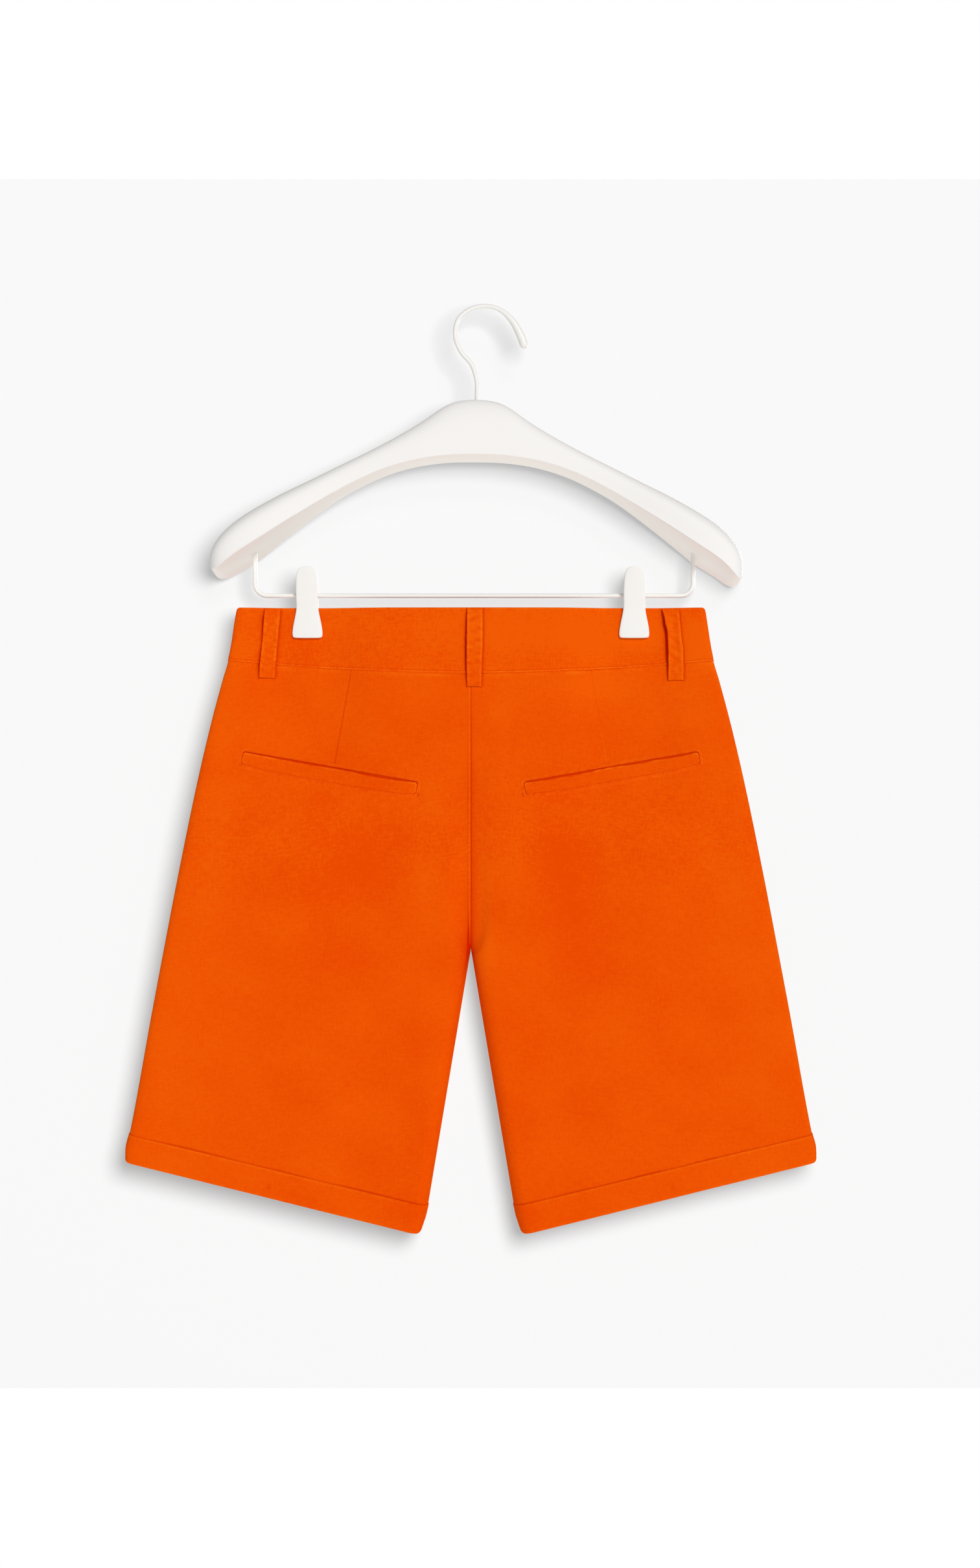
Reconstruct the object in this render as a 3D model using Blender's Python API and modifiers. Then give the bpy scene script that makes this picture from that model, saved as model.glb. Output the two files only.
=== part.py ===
"""Bermuda shorts hung by the waistband from a clip hanger.

Sizes are in millimetres and become metres where a mesh or a curve is made. The origin is the point
where the hook bears on what it hangs from. +X is to the right as the back of the shorts is looked at,
+Y runs from the back of the shorts to their front, and +Z is up.

Each half of the shorts, left and right, back and front, is one sheet. A place on a sheet is given by
`drop` (0 at the waist's edge, 1 at the waistband's seam, 2 at the cuff's seam, 3 at the hem) and by
the distance across from the inner edge (centre seam, then inseam) to the side seam.
"""

import math
from collections import namedtuple

import bmesh
import bpy
import numpy as np

MM = 0.001
COLLECTION = "bermuda_shorts_on_clip_hanger"
LEFT, RIGHT = -1, 1
BACK, FRONT = -1, 1

# ---- where the garment and the hanger are ----

GARMENT_X = -13.4
GARMENT_Y = 9.0
HANGER_X = -9.1
HANGER_LEAN = 0.0075  # the right arm hangs this much lower for each millimetre across

# ---- the cloth ----

CLOTH = 1.2
SEAM_GAP = 0.3
HALF_GAP = SEAM_GAP / 2
BAND_WALL = 2.6
BAND_PROUD = 0.5
CUFF_WALL = 2.4
CUFF_PROUD = 0.6
FOLD_RISE = 0.02  # how far, in drop, a folded edge's sides stay short of the fold
LAYER = 1.2  # a strip that is sewn on
LOOP_LAYER = 1.4
STRIP_SHOULDER = 0.6  # share of a strip's thickness where its rounded edge begins
STRIP_INSET = 0.06  # how far in the rounding goes, as a share of the strip's outermost stretch

Outline = namedtuple("Outline", "height half_width")
OUTLINE = (
    Outline(-240.7, 189.5),
    Outline(-283.0, 196.4),
    Outline(-299.0, 201.0),
    Outline(-331.0, 209.5),
    Outline(-378.0, 220.5),
    Outline(-457.0, 236.8),
    Outline(-567.0, 257.9),
    Outline(-665.5, 276.0),
    Outline(-678.0, 278.9),
    Outline(-688.3, 279.1),
)

Inseam = namedtuple("Inseam", "height half_gap")
INSEAM = (
    Inseam(-517.6, HALF_GAP),
    Inseam(-723.8, 34.6),
    Inseam(-734.0, 36.9),
    Inseam(-747.4, 40.6),
)

# A line across a half sheet falls from its side height to its middle height.
Line = namedtuple("Line", "drop side_height middle_height bow")
LINES = (
    Line(0.0, -240.7, -240.7, 1.0),
    Line(1.0, -283.1, -293.5, 1.7),
    Line(1.5, -474.3, -508.6, 1.0),
    Line(2.0, -665.5, -723.8, 1.0),
    Line(3.0, -688.3, -747.4, 1.0),
)

# How far the sheet stands off the garment's middle plane, and how its inner edge turns in.
Form = namedtuple("Form", "drop depth edge_depth edge_turn edge_reach side_reach clamp")
FORMS = (
    Form(0.00, 7.5, 7.5, 0, 20, 7, 1.0),
    Form(1.00, 8.5, 8.4, 0, 20, 8, 1.0),
    Form(1.12, 9.8, 9.3, 0, 22, 9, 0.6),
    Form(1.30, 12.0, 10.9, 0, 25, 11, 0.1),
    Form(1.42, 12.6, 9.6, 0, 25, 12, 0.0),
    Form(1.48, 12.6, 6.6, 8, 22, 12, 0.0),
    Form(1.505, 12.4, 3.6, 24, 18, 12, 0.0),
    Form(1.521, 12.2, 1.8, 45, 16, 12, 0.0),
    Form(1.535, 12.0, HALF_GAP, 90, 14, 12, 0.0),
    Form(1.60, 11.6, HALF_GAP, 90, 12, 12, 0.0),
    Form(2.00, 10.6, HALF_GAP, 90, 11, 11, 0.0),
    Form(3.00, 10.2, HALF_GAP, 90, 10, 10, 0.0),
)

# The clips press back and front together, so the sheets come close there.
CLIP_X = 132.2
CLAMPED_DEPTH = 2.25
CLAMP_FLAT = 14.0
CLAMP_FADE = 30.0

# Soft hollows (a negative rise) and swells of the hanging cloth, the same on both sides.
Swell = namedtuple("Swell", "across height half_width half_height rise")
SWELLS = (
    Swell(82, -433, 34, 46, -1.3),
    Swell(105, -505, 40, 34, -1.1),
    Swell(40, -545, 22, 70, 0.7),
    Swell(150, -470, 26, 90, 0.6),
    Swell(190, -600, 34, 80, -0.8),
    Swell(120, -620, 30, 90, 0.7),
    Swell(132, -345, 26, 30, -0.6),
)

PANEL_DROPS = (
    1.06, 1.13, 1.21, 1.30, 1.38, 1.44, 1.48, 1.505, 1.521, 1.535, 1.56, 1.62, 1.70, 1.78, 1.86, 1.93,
)
EDGE_STEPS = 5
MIDDLE_STOPS = (0.11, 0.24, 0.37, 0.49, 0.60, 0.68, 0.76, 0.85)
SIDE_STEPS = 5
ROUND_PULL = 0.55  # a Bezier handle's share that makes a quarter round
HALVINGS = 30  # of the stretch in which the drop of a height is looked for

WAIST_CORNER = 2.4
HEM_SIDE_CORNER = 5.0
HEM_INNER_CORNER = 3.4

# ---- what is sewn on ----

Loop = namedtuple("Loop", "name face top_x bottom_x bottom_height")
LOOPS = (
    Loop("belt_loop_back_centre", BACK, 3.1, 3.1, -304.6),
    Loop("belt_loop_back_left", BACK, -160.8, -164.8, -297.3),
    Loop("belt_loop_back_right", BACK, 161.6, 165.2, -299.3),
    Loop("belt_loop_front_left", FRONT, -103.0, -104.0, -302.5),
    Loop("belt_loop_front_right", FRONT, 103.0, 104.0, -302.5),
)
LOOP_WIDTH = 12.6
LOOP_STOPS = (-1, -0.33, 0.33, 1)
LOOP_STEPS = 9
LOOP_LIFT = 0.4  # the loop's ends clear the waistband by this much, and its middle by the bow more
LOOP_BOW = 0.9

WELT_INNER = (43.4, -386.3)  # middle of the welt's inner end: across, height
WELT_OUTER = (184.0, -361.7)
WELT_HEIGHT = 10.0
WELT_BOW = 2.8  # the lower edge bows down this much
WELT_STOPS = (0, 0.3, 0.7, 1)
WELT_STEPS = 16

FLY_EDGE = -2.5  # across, to the wearer's left of the centre seam
FLY_WIDTH = 36.0
FLY_TOP_GAP = 0.6
FLY_STRAIGHT = 118.0
FLY_CURVE = 44.0
FLY_TURN = math.radians(80)
FLY_STOPS = (0, 0.12, 0.3, 0.6, 1)
FLY_STEPS = 6  # for the straight stretch, and again for the curved one

BAND_OVERLAP = 16.0  # the right front end of the waistband passes the centre by this much
BUTTON_X = -5.0
BUTTON_HEIGHT = -267.0
BUTTON_RADIUS = 8.5
BUTTON_DEPTH = 3.2
BUTTON_RIM = 0.9

ZIP_WIDTH = 22.0
ZIP_LENGTH = 132.0
ZIP_BELOW_FLY = 3.0
ZIP_TAPE = 1.1
ZIP_STEPS = 8
Slider = namedtuple("Slider", "width thickness height edge")
SLIDER = Slider(7.0, 3.0, 11.0, 0.8)
SLIDER_BELOW_TOP = 12.0

# ---- the hanger ----

Arm = namedtuple("Arm", "reach top front_edge back_edge thickness")
ARM = (
    Arm(0.0, -72.8, -121.5, -123.1, 26.0),
    Arm(18.0, -74.6, -121.6, -123.2, 26.0),
    Arm(29.0, -81.0, -122.6, -124.0, 26.0),
    Arm(39.0, -88.6, -123.7, -125.2, 26.0),
    Arm(50.0, -96.0, -125.4, -127.0, 25.5),
    Arm(71.0, -108.1, -130.6, -132.6, 25.0),
    Arm(92.0, -118.8, -139.5, -142.2, 25.0),
    Arm(113.0, -128.7, -150.8, -153.5, 27.0),
    Arm(134.0, -139.4, -164.1, -168.3, 33.0),
    Arm(155.0, -149.0, -177.1, -183.8, 40.0),
    Arm(176.0, -160.5, -191.2, -201.0, 45.0),
    Arm(187.0, -167.0, -197.8, -207.5, 46.0),
    Arm(197.0, -174.2, -204.8, -213.4, 45.0),
    Arm(205.0, -181.5, -210.3, -217.4, 41.0),
    Arm(210.0, -187.8, -213.6, -218.2, 34.0),
    Arm(213.6, -193.6, -212.6, -215.6, 24.0),
    Arm(215.8, -200.0, -207.0, -208.2, 9.0),
)
ARM_SWEEP = 6.0  # the arms come forward this much at the bar's legs
SWEEP_REACH = 176.0

# The arm's cross-section: share across from the near face to the far one, share up from the underside.
Corner = namedtuple("Corner", "across up")
ARM_SECTION = (
    Corner(0.05, 0.00),
    Corner(0.00, 0.05),
    Corner(0.00, 0.50),
    Corner(0.05, 0.74),
    Corner(0.19, 0.92),
    Corner(0.38, 0.99),
    Corner(0.62, 0.99),
    Corner(0.81, 0.92),
    Corner(0.95, 0.74),
    Corner(1.00, 0.50),
    Corner(1.00, 0.05),
    Corner(0.95, 0.00),
)

WIRE_RADIUS = 1.75
SOCKET_SPARE = 0.3
DRILL_RUN = 15.0  # how far a socket's drill reaches outside the hanger
STEM_X = -8.5
STEM_BOTTOM = -86.0
HookPoint = namedtuple("HookPoint", "x z radius")
HOOK = (
    HookPoint(STEM_X, STEM_BOTTOM, 1.75),
    HookPoint(STEM_X, -72.0, 1.75),
    HookPoint(-8.7, -58.5, 1.75),
    HookPoint(-12.8, -45.4, 1.75),
    HookPoint(-21.5, -34.8, 1.75),
    HookPoint(-26.0, -21.9, 1.75),
    HookPoint(-23.4, -8.9, 1.75),
    HookPoint(-13.0, -0.3, 1.75),
    HookPoint(0.0, 1.75, 1.75),
    HookPoint(11.5, -2.1, 1.9),
    HookPoint(20.6, -11.0, 2.7),
    HookPoint(26.6, -21.9, 3.3),
    HookPoint(29.4, -29.0, 3.4),
)
HOOK_STEPS_PER_SPAN = 3
HOOK_TIP_SHARES = ((0.45, 0.92), (0.8, 0.64), (1.0, 0.25))  # along the tip's round, and its radius

BAR_RADIUS = 1.85
BAR_HEIGHT = -230.6
BAR_LEFT = -188.6
BAR_RIGHT = 166.9
BAR_BEND = 10.0
BEND_STEPS = 6
BAR_IN_HANGER = 8.0

ClipRow = namedtuple("ClipRow", "height half_width inner_depth thickness")
CLIP = (
    ClipRow(-208.1, 2.8, 10.4, 2.0),
    ClipRow(-208.9, 5.3, 10.2, 2.3),
    ClipRow(-211.5, 7.6, 9.4, 2.6),
    ClipRow(-216.0, 8.6, 8.2, 2.9),
    ClipRow(-222.0, 8.9, 6.8, 3.2),
    ClipRow(-228.0, 9.1, 5.2, 3.4),
    ClipRow(-234.0, 9.0, 4.8, 3.3),
    ClipRow(-240.0, 8.7, 3.5, 3.1),
    ClipRow(-246.0, 9.6, 3.05, 3.0),
    ClipRow(-252.0, 11.0, 3.05, 2.9),
    ClipRow(-258.0, 12.1, 3.05, 2.8),
    ClipRow(-262.4, 12.4, 3.05, 2.7),
    ClipRow(-264.6, 11.8, 3.05, 2.4),
    ClipRow(-265.3, 10.4, 3.05, 2.0),
)
CLIP_EDGE = 0.9  # how far the jaw's outer edges are rounded
CLIP_CROWN = 0.25
SLEEVE_RADIUS = 4.3
SLEEVE_HALF_LENGTH = 7.0
ROUND_STEPS = 20

# ---- colours, as linear red, green and blue, with roughness and metallic value ----

Finish = namedtuple("Finish", "red green blue roughness metallic")
FINISHES = {
    "orange_linen": Finish(0.84, 0.080, 0.002, 0.85, 0.0),
    "hanger_white": Finish(0.88, 0.86, 0.83, 0.45, 0.0),
    "wire_white": Finish(0.86, 0.85, 0.82, 0.35, 0.0),
    "clip_white": Finish(0.88, 0.86, 0.83, 0.40, 0.0),
    "button_horn": Finish(0.62, 0.10, 0.01, 0.35, 0.0),
    "zip_tape_orange": Finish(0.80, 0.09, 0.005, 0.80, 0.0),
    "zip_metal": Finish(0.75, 0.70, 0.60, 0.30, 1.0),
}


# ---- Blender helpers ----


def clear_scene():
    for old in list(bpy.data.objects):
        bpy.data.objects.remove(old, do_unlink=True)


def new_collection(name, parent):
    collection = bpy.data.collections.new(name)
    parent.children.link(collection)
    return collection


def make_materials():
    made = {}
    for name, finish in FINISHES.items():
        material = bpy.data.materials.new(name)
        material.use_nodes = True
        shader = material.node_tree.nodes["Principled BSDF"]
        shader.inputs["Base Color"].default_value = (finish.red, finish.green, finish.blue, 1.0)
        shader.inputs["Roughness"].default_value = finish.roughness
        shader.inputs["Metallic"].default_value = finish.metallic
        made[name] = material
    return made


class Shop:
    """Keeps the collections and materials that every piece needs."""

    def __init__(self):
        clear_scene()
        root = bpy.context.scene.collection
        self.parts = new_collection(COLLECTION, root)
        self.cutters = new_collection("cutters", root)
        self.materials = make_materials()

    def add(self, name, data, finish, collection=None):
        made = bpy.data.objects.new(name, data)
        (collection or self.parts).objects.link(made)
        data.materials.append(self.materials[finish])
        return made

    def add_mesh(self, name, points, faces, finish):
        """A closed mesh from points in millimetres, its faces turned outwards."""
        mesh = bpy.data.meshes.new(name)
        mesh.from_pydata([tuple(float(v) * MM for v in point) for point in points], [], faces)
        shaped = bmesh.new()
        shaped.from_mesh(mesh)
        bmesh.ops.recalc_face_normals(shaped, faces=shaped.faces)
        shaped.to_mesh(mesh)
        shaped.free()
        mesh.shade_smooth()
        mesh.set_sharp_from_angle(angle=math.radians(40))
        return self.add(name, mesh, finish)

    def add_loft(self, name, rings, finish):
        """A closed body through rings of equal counts, with a cap on each end."""
        count = len(rings[0])
        faces = [tuple(range(count)), tuple(range((len(rings) - 1) * count, len(rings) * count))]
        for ring in range(len(rings) - 1):
            for i in range(count):
                j = (i + 1) % count
                a, b = ring * count, (ring + 1) * count
                faces.append((a + i, a + j, b + j, b + i))
        return self.add_mesh(name, np.concatenate(rings), faces, finish)

    def add_wall(self, name, outer, inner, finish):
        """A closed wall between two grids of points, rows by columns."""
        rows, columns = outer.shape[:2]
        shift = rows * columns
        faces = []
        for r in range(rows - 1):
            for c in range(columns - 1):
                a, b = r * columns + c, (r + 1) * columns + c
                faces.append((a, a + 1, b + 1, b))
                faces.append((shift + a, shift + b, shift + b + 1, shift + a + 1))
        top = list(range(columns))
        right = [r * columns + columns - 1 for r in range(1, rows)]
        bottom = [(rows - 1) * columns + c for c in range(columns - 2, -1, -1)]
        left = [r * columns for r in range(rows - 2, 0, -1)]
        rim = top + right + bottom + left
        for a, b in zip(rim, rim[1:] + rim[:1]):
            faces.append((a, b, shift + b, shift + a))
        points = np.concatenate([outer.reshape(-1, 3), inner.reshape(-1, 3)])
        return self.add_mesh(name, points, faces, finish)

    def add_wire(self, name, points, radii, finish):
        """A round wire through points in millimetres, each with its own radius."""
        curve = bpy.data.curves.new(name, "CURVE")
        curve.dimensions = "3D"
        curve.bevel_depth = MM
        curve.bevel_resolution = 2
        curve.use_fill_caps = True
        spline = curve.splines.new("POLY")
        spline.points.add(len(points) - 1)
        for target, point, radius in zip(spline.points, points, radii):
            target.co = (point[0] * MM, point[1] * MM, point[2] * MM, 1.0)
            target.radius = radius
        return self.add(name, curve, finish)

    def cut(self, target, name, radius, low, high, x, y):
        """Drills an upright round hole between two heights."""
        mesh = bpy.data.meshes.new(name)
        shaped = bmesh.new()
        bmesh.ops.create_cone(
            shaped,
            cap_ends=True,
            segments=12,
            radius1=radius * MM,
            radius2=radius * MM,
            depth=(high - low) * MM,
        )
        shaped.to_mesh(mesh)
        shaped.free()
        cutter = bpy.data.objects.new(name, mesh)
        self.cutters.objects.link(cutter)
        cutter.location = (x * MM, y * MM, (low + high) / 2 * MM)
        cutter.hide_render = True
        cutter.display_type = "WIRE"
        modifier = target.modifiers.new(name, "BOOLEAN")
        modifier.operation = "DIFFERENCE"
        modifier.object = cutter


# ---- the sheets of the shorts ----


def column(table, name):
    return [getattr(row, name) for row in table]


def between(table, at, name):
    """A named column of a table, read between its rows; `at` is (the key column, a value)."""
    key, value = at
    keys = column(table, key)
    values = column(table, name)
    if keys[0] > keys[-1]:
        keys, values = keys[::-1], values[::-1]
    return float(np.interp(value, keys, values))


def inner_x(drop):
    """Distance of a sheet's inner edge from the garment's middle."""
    return between(INSEAM, ("height", between(LINES, ("drop", drop), "middle_height")), "half_gap")


def width(drop):
    """Distance from the inner edge to the side seam."""
    side = between(LINES, ("drop", drop), "side_height")
    return between(OUTLINE, ("height", side), "half_width") - inner_x(drop)


def height(drop, across):
    side = between(LINES, ("drop", drop), "side_height")
    middle = between(LINES, ("drop", drop), "middle_height")
    bow = between(LINES, ("drop", drop), "bow")
    share = np.clip(np.asarray(across) / width(drop), 0, 1)
    return middle + (side - middle) * share**bow


def clamp_at(x):
    off = np.maximum(np.abs(x - CLIP_X) - CLAMP_FLAT, 0)
    return np.exp(-((off / CLAMP_FADE) ** 2))


def swell_at(x, z):
    rise = 0.0
    for swell in SWELLS:
        dx = (x - swell.across) / swell.half_width
        dz = (z - swell.height) / swell.half_height
        rise = rise + swell.rise * np.exp(-(dx**2) - dz**2)
    return rise


def open_depth(drop, across):
    """How far the flat part of a sheet stands off the garment's middle plane."""
    depth = between(FORMS, ("drop", drop), "depth")
    x = across + inner_x(drop)
    clamp = between(FORMS, ("drop", drop), "clamp") * clamp_at(x)
    return depth * (1 - clamp) + CLAMPED_DEPTH * clamp + swell_at(x, height(drop, across))


def bezier(start, start_handle, end_handle, end, steps):
    t = np.linspace(0, 1, steps + 1)[:, None]
    corners = [np.array(p, float) for p in (start, start_handle, end_handle, end)]
    weights = ((1 - t) ** 3, 3 * t * (1 - t) ** 2, 3 * t**2 * (1 - t), t**3)
    return sum(w * p for w, p in zip(weights, corners))


def section(drop):
    """A sheet's line at one drop: points and their inward normals, as (across, depth) pairs."""
    wide = width(drop)
    reach = between(FORMS, ("drop", drop), "edge_reach")
    side_reach = between(FORMS, ("drop", drop), "side_reach")
    edge_depth = between(FORMS, ("drop", drop), "edge_depth")
    turn = math.radians(between(FORMS, ("drop", drop), "edge_turn"))
    full = open_depth(drop, reach)
    pull = ROUND_PULL * (reach * math.cos(turn) + (full - edge_depth) * math.sin(turn))
    edge = bezier(
        (0, edge_depth),
        (pull * math.cos(turn), edge_depth + pull * math.sin(turn)),
        (reach * (1 - ROUND_PULL), full),
        (reach, full),
        EDGE_STEPS,
    )
    middle_across = reach + (wide - side_reach - reach) * np.array(MIDDLE_STOPS)
    middle = np.column_stack([middle_across, open_depth(drop, middle_across)])
    side_depth = open_depth(drop, wide - side_reach)
    side = bezier(
        (wide - side_reach, side_depth),
        (wide - side_reach * (1 - ROUND_PULL), side_depth),
        (wide, HALF_GAP + ROUND_PULL * (side_depth - HALF_GAP)),
        (wide, HALF_GAP),
        SIDE_STEPS,
    )
    line = np.concatenate([edge, middle, side])
    along = np.gradient(line, axis=0)
    along /= np.linalg.norm(along, axis=1)[:, None]
    normals = np.column_stack([along[:, 1], -along[:, 0]])
    normals[0] = (math.sin(turn), -math.cos(turn))
    normals[-1] = (-1, 0)
    return line, normals


def corner_rise(from_end, radius):
    """How far a rounded corner has drawn in, at distances from the end of its line."""
    off = np.clip(radius - from_end, 0, radius)
    return radius - np.sqrt(radius**2 - off**2)


def points_at(side, face, drop, lift, stops=None):
    """The points of a sheet at one drop, moved out by `lift`, at given stops along its line."""
    line, normals = section(drop)
    index = np.arange(len(line)) if stops is None else np.asarray(stops, float)
    known = np.arange(len(line))
    moved = line - normals * lift
    across = np.interp(index, known, moved[:, 0])
    depth = np.interp(index, known, moved[:, 1])
    base = np.interp(index, known, line[:, 0])
    z = height(drop, across)
    if drop == 0:
        z = z - corner_rise(width(drop) - base, WAIST_CORNER)
    if drop == 3:
        z = z + corner_rise(base, HEM_INNER_CORNER) + corner_rise(width(drop) - base, HEM_SIDE_CORNER)
    x = GARMENT_X + side * (inner_x(drop) + across)
    return np.column_stack([x, GARMENT_Y + face * depth, z])


def drop_gap(drop, size):
    """How much drop lies in a given height, in the stretch above or below."""
    step = 0.01
    above, below = (between(LINES, ("drop", at), "side_height") for at in (drop, drop + step))
    return size * step / (above - below)


def depth_at(x, z):
    """How far a sheet stands off the middle plane at a distance from the centre and a height."""
    low, high = 0.0, 3.0
    for _ in range(HALVINGS):
        drop = (low + high) / 2
        if height(drop, abs(x) - inner_x(drop)) > z:
            low = drop
        else:
            high = drop
    line, _ = section(drop)
    proud = BAND_PROUD if drop < 1 else 0.0
    return float(np.interp(abs(x) - inner_x(drop), line[:, 0], line[:, 1])) + proud


def make_panels(shop):
    drops = [1 + drop_gap(1, HALF_GAP), *PANEL_DROPS, 2 - drop_gap(1.9, HALF_GAP)]
    for face, face_name in ((BACK, "back"), (FRONT, "front")):
        for side, side_name in ((LEFT, "left"), (RIGHT, "right")):
            outer = np.array([points_at(side, face, drop, 0) for drop in drops])
            inner = np.array([points_at(side, face, drop, -CLOTH) for drop in drops])
            shop.add_wall(f"panel_{face_name}_{side_name}", outer, inner, "orange_linen")


def folded_rings(stretches, open_drop, fold_drop, proud, wall):
    """Rings of a folded strip along one or more stretches, each (side, face, stops)."""
    rise = math.copysign(FOLD_RISE, open_drop - fold_drop)
    levels = (
        (open_drop, proud),
        (fold_drop + rise, proud),
        (fold_drop, proud - wall / 3),
        (fold_drop, proud - wall * 2 / 3),
        (fold_drop + rise, proud - wall),
        (open_drop, proud - wall),
    )
    rings = []
    for side, face, stops in stretches:
        rows = np.array([points_at(side, face, drop, lift, stops) for drop, lift in levels])
        rings += [rows[:, i] for i in range(len(stops))]
    return rings


def merge_centre(rings, first):
    """Two rings at the garment's middle, `first` and the next, become one there."""
    joined = (rings[first] + rings[first + 1]) / 2
    return rings[:first] + [joined] + rings[first + 2:]


def make_waistband(shop):
    seam = 1 - drop_gap(0.9, HALF_GAP)
    line, _ = section(0)
    last = len(line) - 1
    out = np.arange(0, last + 1)
    shape = (seam, 0.0, BAND_PROUD, BAND_WALL)
    rings = folded_rings([(LEFT, BACK, out[::-1]), (RIGHT, BACK, out)], *shape)
    shop.add_loft("waistband_back", merge_centre(rings, last), "orange_linen")
    overlap = float(np.interp(BAND_OVERLAP, line[:, 0], out))
    start = float(np.interp(BAND_OVERLAP + SEAM_GAP, line[:, 0], out))
    past_centre = np.concatenate([[overlap], np.arange(math.floor(overlap), -1, -1)])
    rings = folded_rings([(LEFT, FRONT, past_centre), (RIGHT, FRONT, out)], *shape)
    shop.add_loft("waistband_front_right", merge_centre(rings, len(past_centre) - 1), "orange_linen")
    left = np.concatenate([[start], np.arange(math.ceil(start), last + 1)])
    rings = folded_rings([(LEFT, FRONT, left)], *shape)
    shop.add_loft("waistband_front_left", rings, "orange_linen")


def make_cuffs(shop):
    seam = 2 + drop_gap(2, HALF_GAP)
    stops = np.arange(len(section(2.5)[0]))
    for face, face_name in ((BACK, "back"), (FRONT, "front")):
        for side, side_name in ((LEFT, "left"), (RIGHT, "right")):
            rings = folded_rings([(side, face, stops)], seam, 3.0, CUFF_PROUD, CUFF_WALL)
            shop.add_loft(f"cuff_{side_name}_{face_name}", rings, "orange_linen")


# ---- strips that lie on a sheet ----


def strip_ring(face, spots, lift, thick):
    """A flat strip's cross-section over (x, z) spots on a sheet, rounded at its outer edges."""
    depths = [depth_at(x, z) + lift for x, z in spots]
    under = [(x, d, z) for (x, z), d in zip(spots, depths)]
    over = [(x, d + thick, z) for (x, z), d in zip(spots, depths)]
    shoulder = thick * STRIP_SHOULDER
    (ax, ad, az), (bx, bd, bz) = under[0], under[-1]
    over[0] = tuple(np.array(over[0]) * (1 - STRIP_INSET) + np.array(over[1]) * STRIP_INSET)
    over[-1] = tuple(np.array(over[-1]) * (1 - STRIP_INSET) + np.array(over[-2]) * STRIP_INSET)
    ring = [*under, (bx, bd + shoulder, bz), *over[::-1], (ax, ad + shoulder, az)]
    return np.array([(GARMENT_X + x, GARMENT_Y + face * d, z) for x, d, z in ring])


def make_loops(shop):
    for loop in LOOPS:
        waist = between(LINES, ("drop", 0), "side_height") - SEAM_GAP
        rings = []
        for step in range(LOOP_STEPS + 1):
            share = step / LOOP_STEPS
            x = loop.top_x + (loop.bottom_x - loop.top_x) * share
            z = waist + (loop.bottom_height - waist) * share
            bow = LOOP_BOW * math.sin(math.pi * min(share * 1.1, 1)) ** 2
            spots = [(x + stop * LOOP_WIDTH / 2, z) for stop in LOOP_STOPS]
            rings.append(strip_ring(loop.face, spots, LOOP_LIFT + bow, LOOP_LAYER))
        shop.add_loft(loop.name, rings, "orange_linen")


def make_welts(shop):
    for side, side_name in ((LEFT, "left"), (RIGHT, "right")):
        (x0, z0), (x1, z1) = WELT_INNER, WELT_OUTER
        upward = np.array([z0 - z1, x1 - x0]) / math.hypot(x1 - x0, z1 - z0)
        rings = []
        for step in range(WELT_STEPS + 1):
            share = step / WELT_STEPS
            middle = np.array([x0 + (x1 - x0) * share, z0 + (z1 - z0) * share])
            top = WELT_HEIGHT / 2
            tall = WELT_HEIGHT + WELT_BOW * math.sin(math.pi * share)
            spots = [(middle + upward * (top - tall * (1 - stop))) * (side, 1) for stop in WELT_STOPS]
            rings.append(strip_ring(BACK, spots, SEAM_GAP, LAYER))
        shop.add_loft(f"pocket_welt_{side_name}", rings, "orange_linen")


def fly_top():
    return between(LINES, ("drop", 1), "middle_height") - FLY_TOP_GAP


def make_fly(shop):
    rows = [(FLY_STRAIGHT * step / FLY_STEPS, FLY_WIDTH) for step in range(FLY_STEPS)]
    for step in range(FLY_STEPS + 1):
        turn = FLY_TURN * step / FLY_STEPS
        fall = FLY_STRAIGHT + FLY_CURVE * math.sin(turn) / math.sin(FLY_TURN)
        rows.append((fall, FLY_WIDTH * math.cos(turn)))
    rings = []
    for fall, wide in rows:
        spots = [(FLY_EDGE + (wide - FLY_EDGE) * stop, fly_top() - fall) for stop in FLY_STOPS]
        rings.append(strip_ring(FRONT, spots, SEAM_GAP, LAYER))
    shop.add_loft("fly_placket", rings, "orange_linen")


def make_button(shop):
    mesh = bpy.data.meshes.new("waist_button")
    shaped = bmesh.new()
    bmesh.ops.create_cone(
        shaped,
        cap_ends=True,
        segments=24,
        radius1=BUTTON_RADIUS * MM,
        radius2=BUTTON_RADIUS * MM,
        depth=BUTTON_DEPTH * MM,
    )
    shaped.to_mesh(mesh)
    shaped.free()
    button = shop.add("waist_button", mesh, "button_horn")
    depth = depth_at(BUTTON_X, BUTTON_HEIGHT) + SEAM_GAP + BUTTON_DEPTH / 2
    button.location = ((GARMENT_X + BUTTON_X) * MM, (GARMENT_Y + depth) * MM, BUTTON_HEIGHT * MM)
    button.rotation_euler = (math.radians(90), 0, 0)
    bevel = button.modifiers.new("rim", "BEVEL")
    bevel.width = BUTTON_RIM * MM
    bevel.segments = 2
    bevel.limit_method = "ANGLE"


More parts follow.
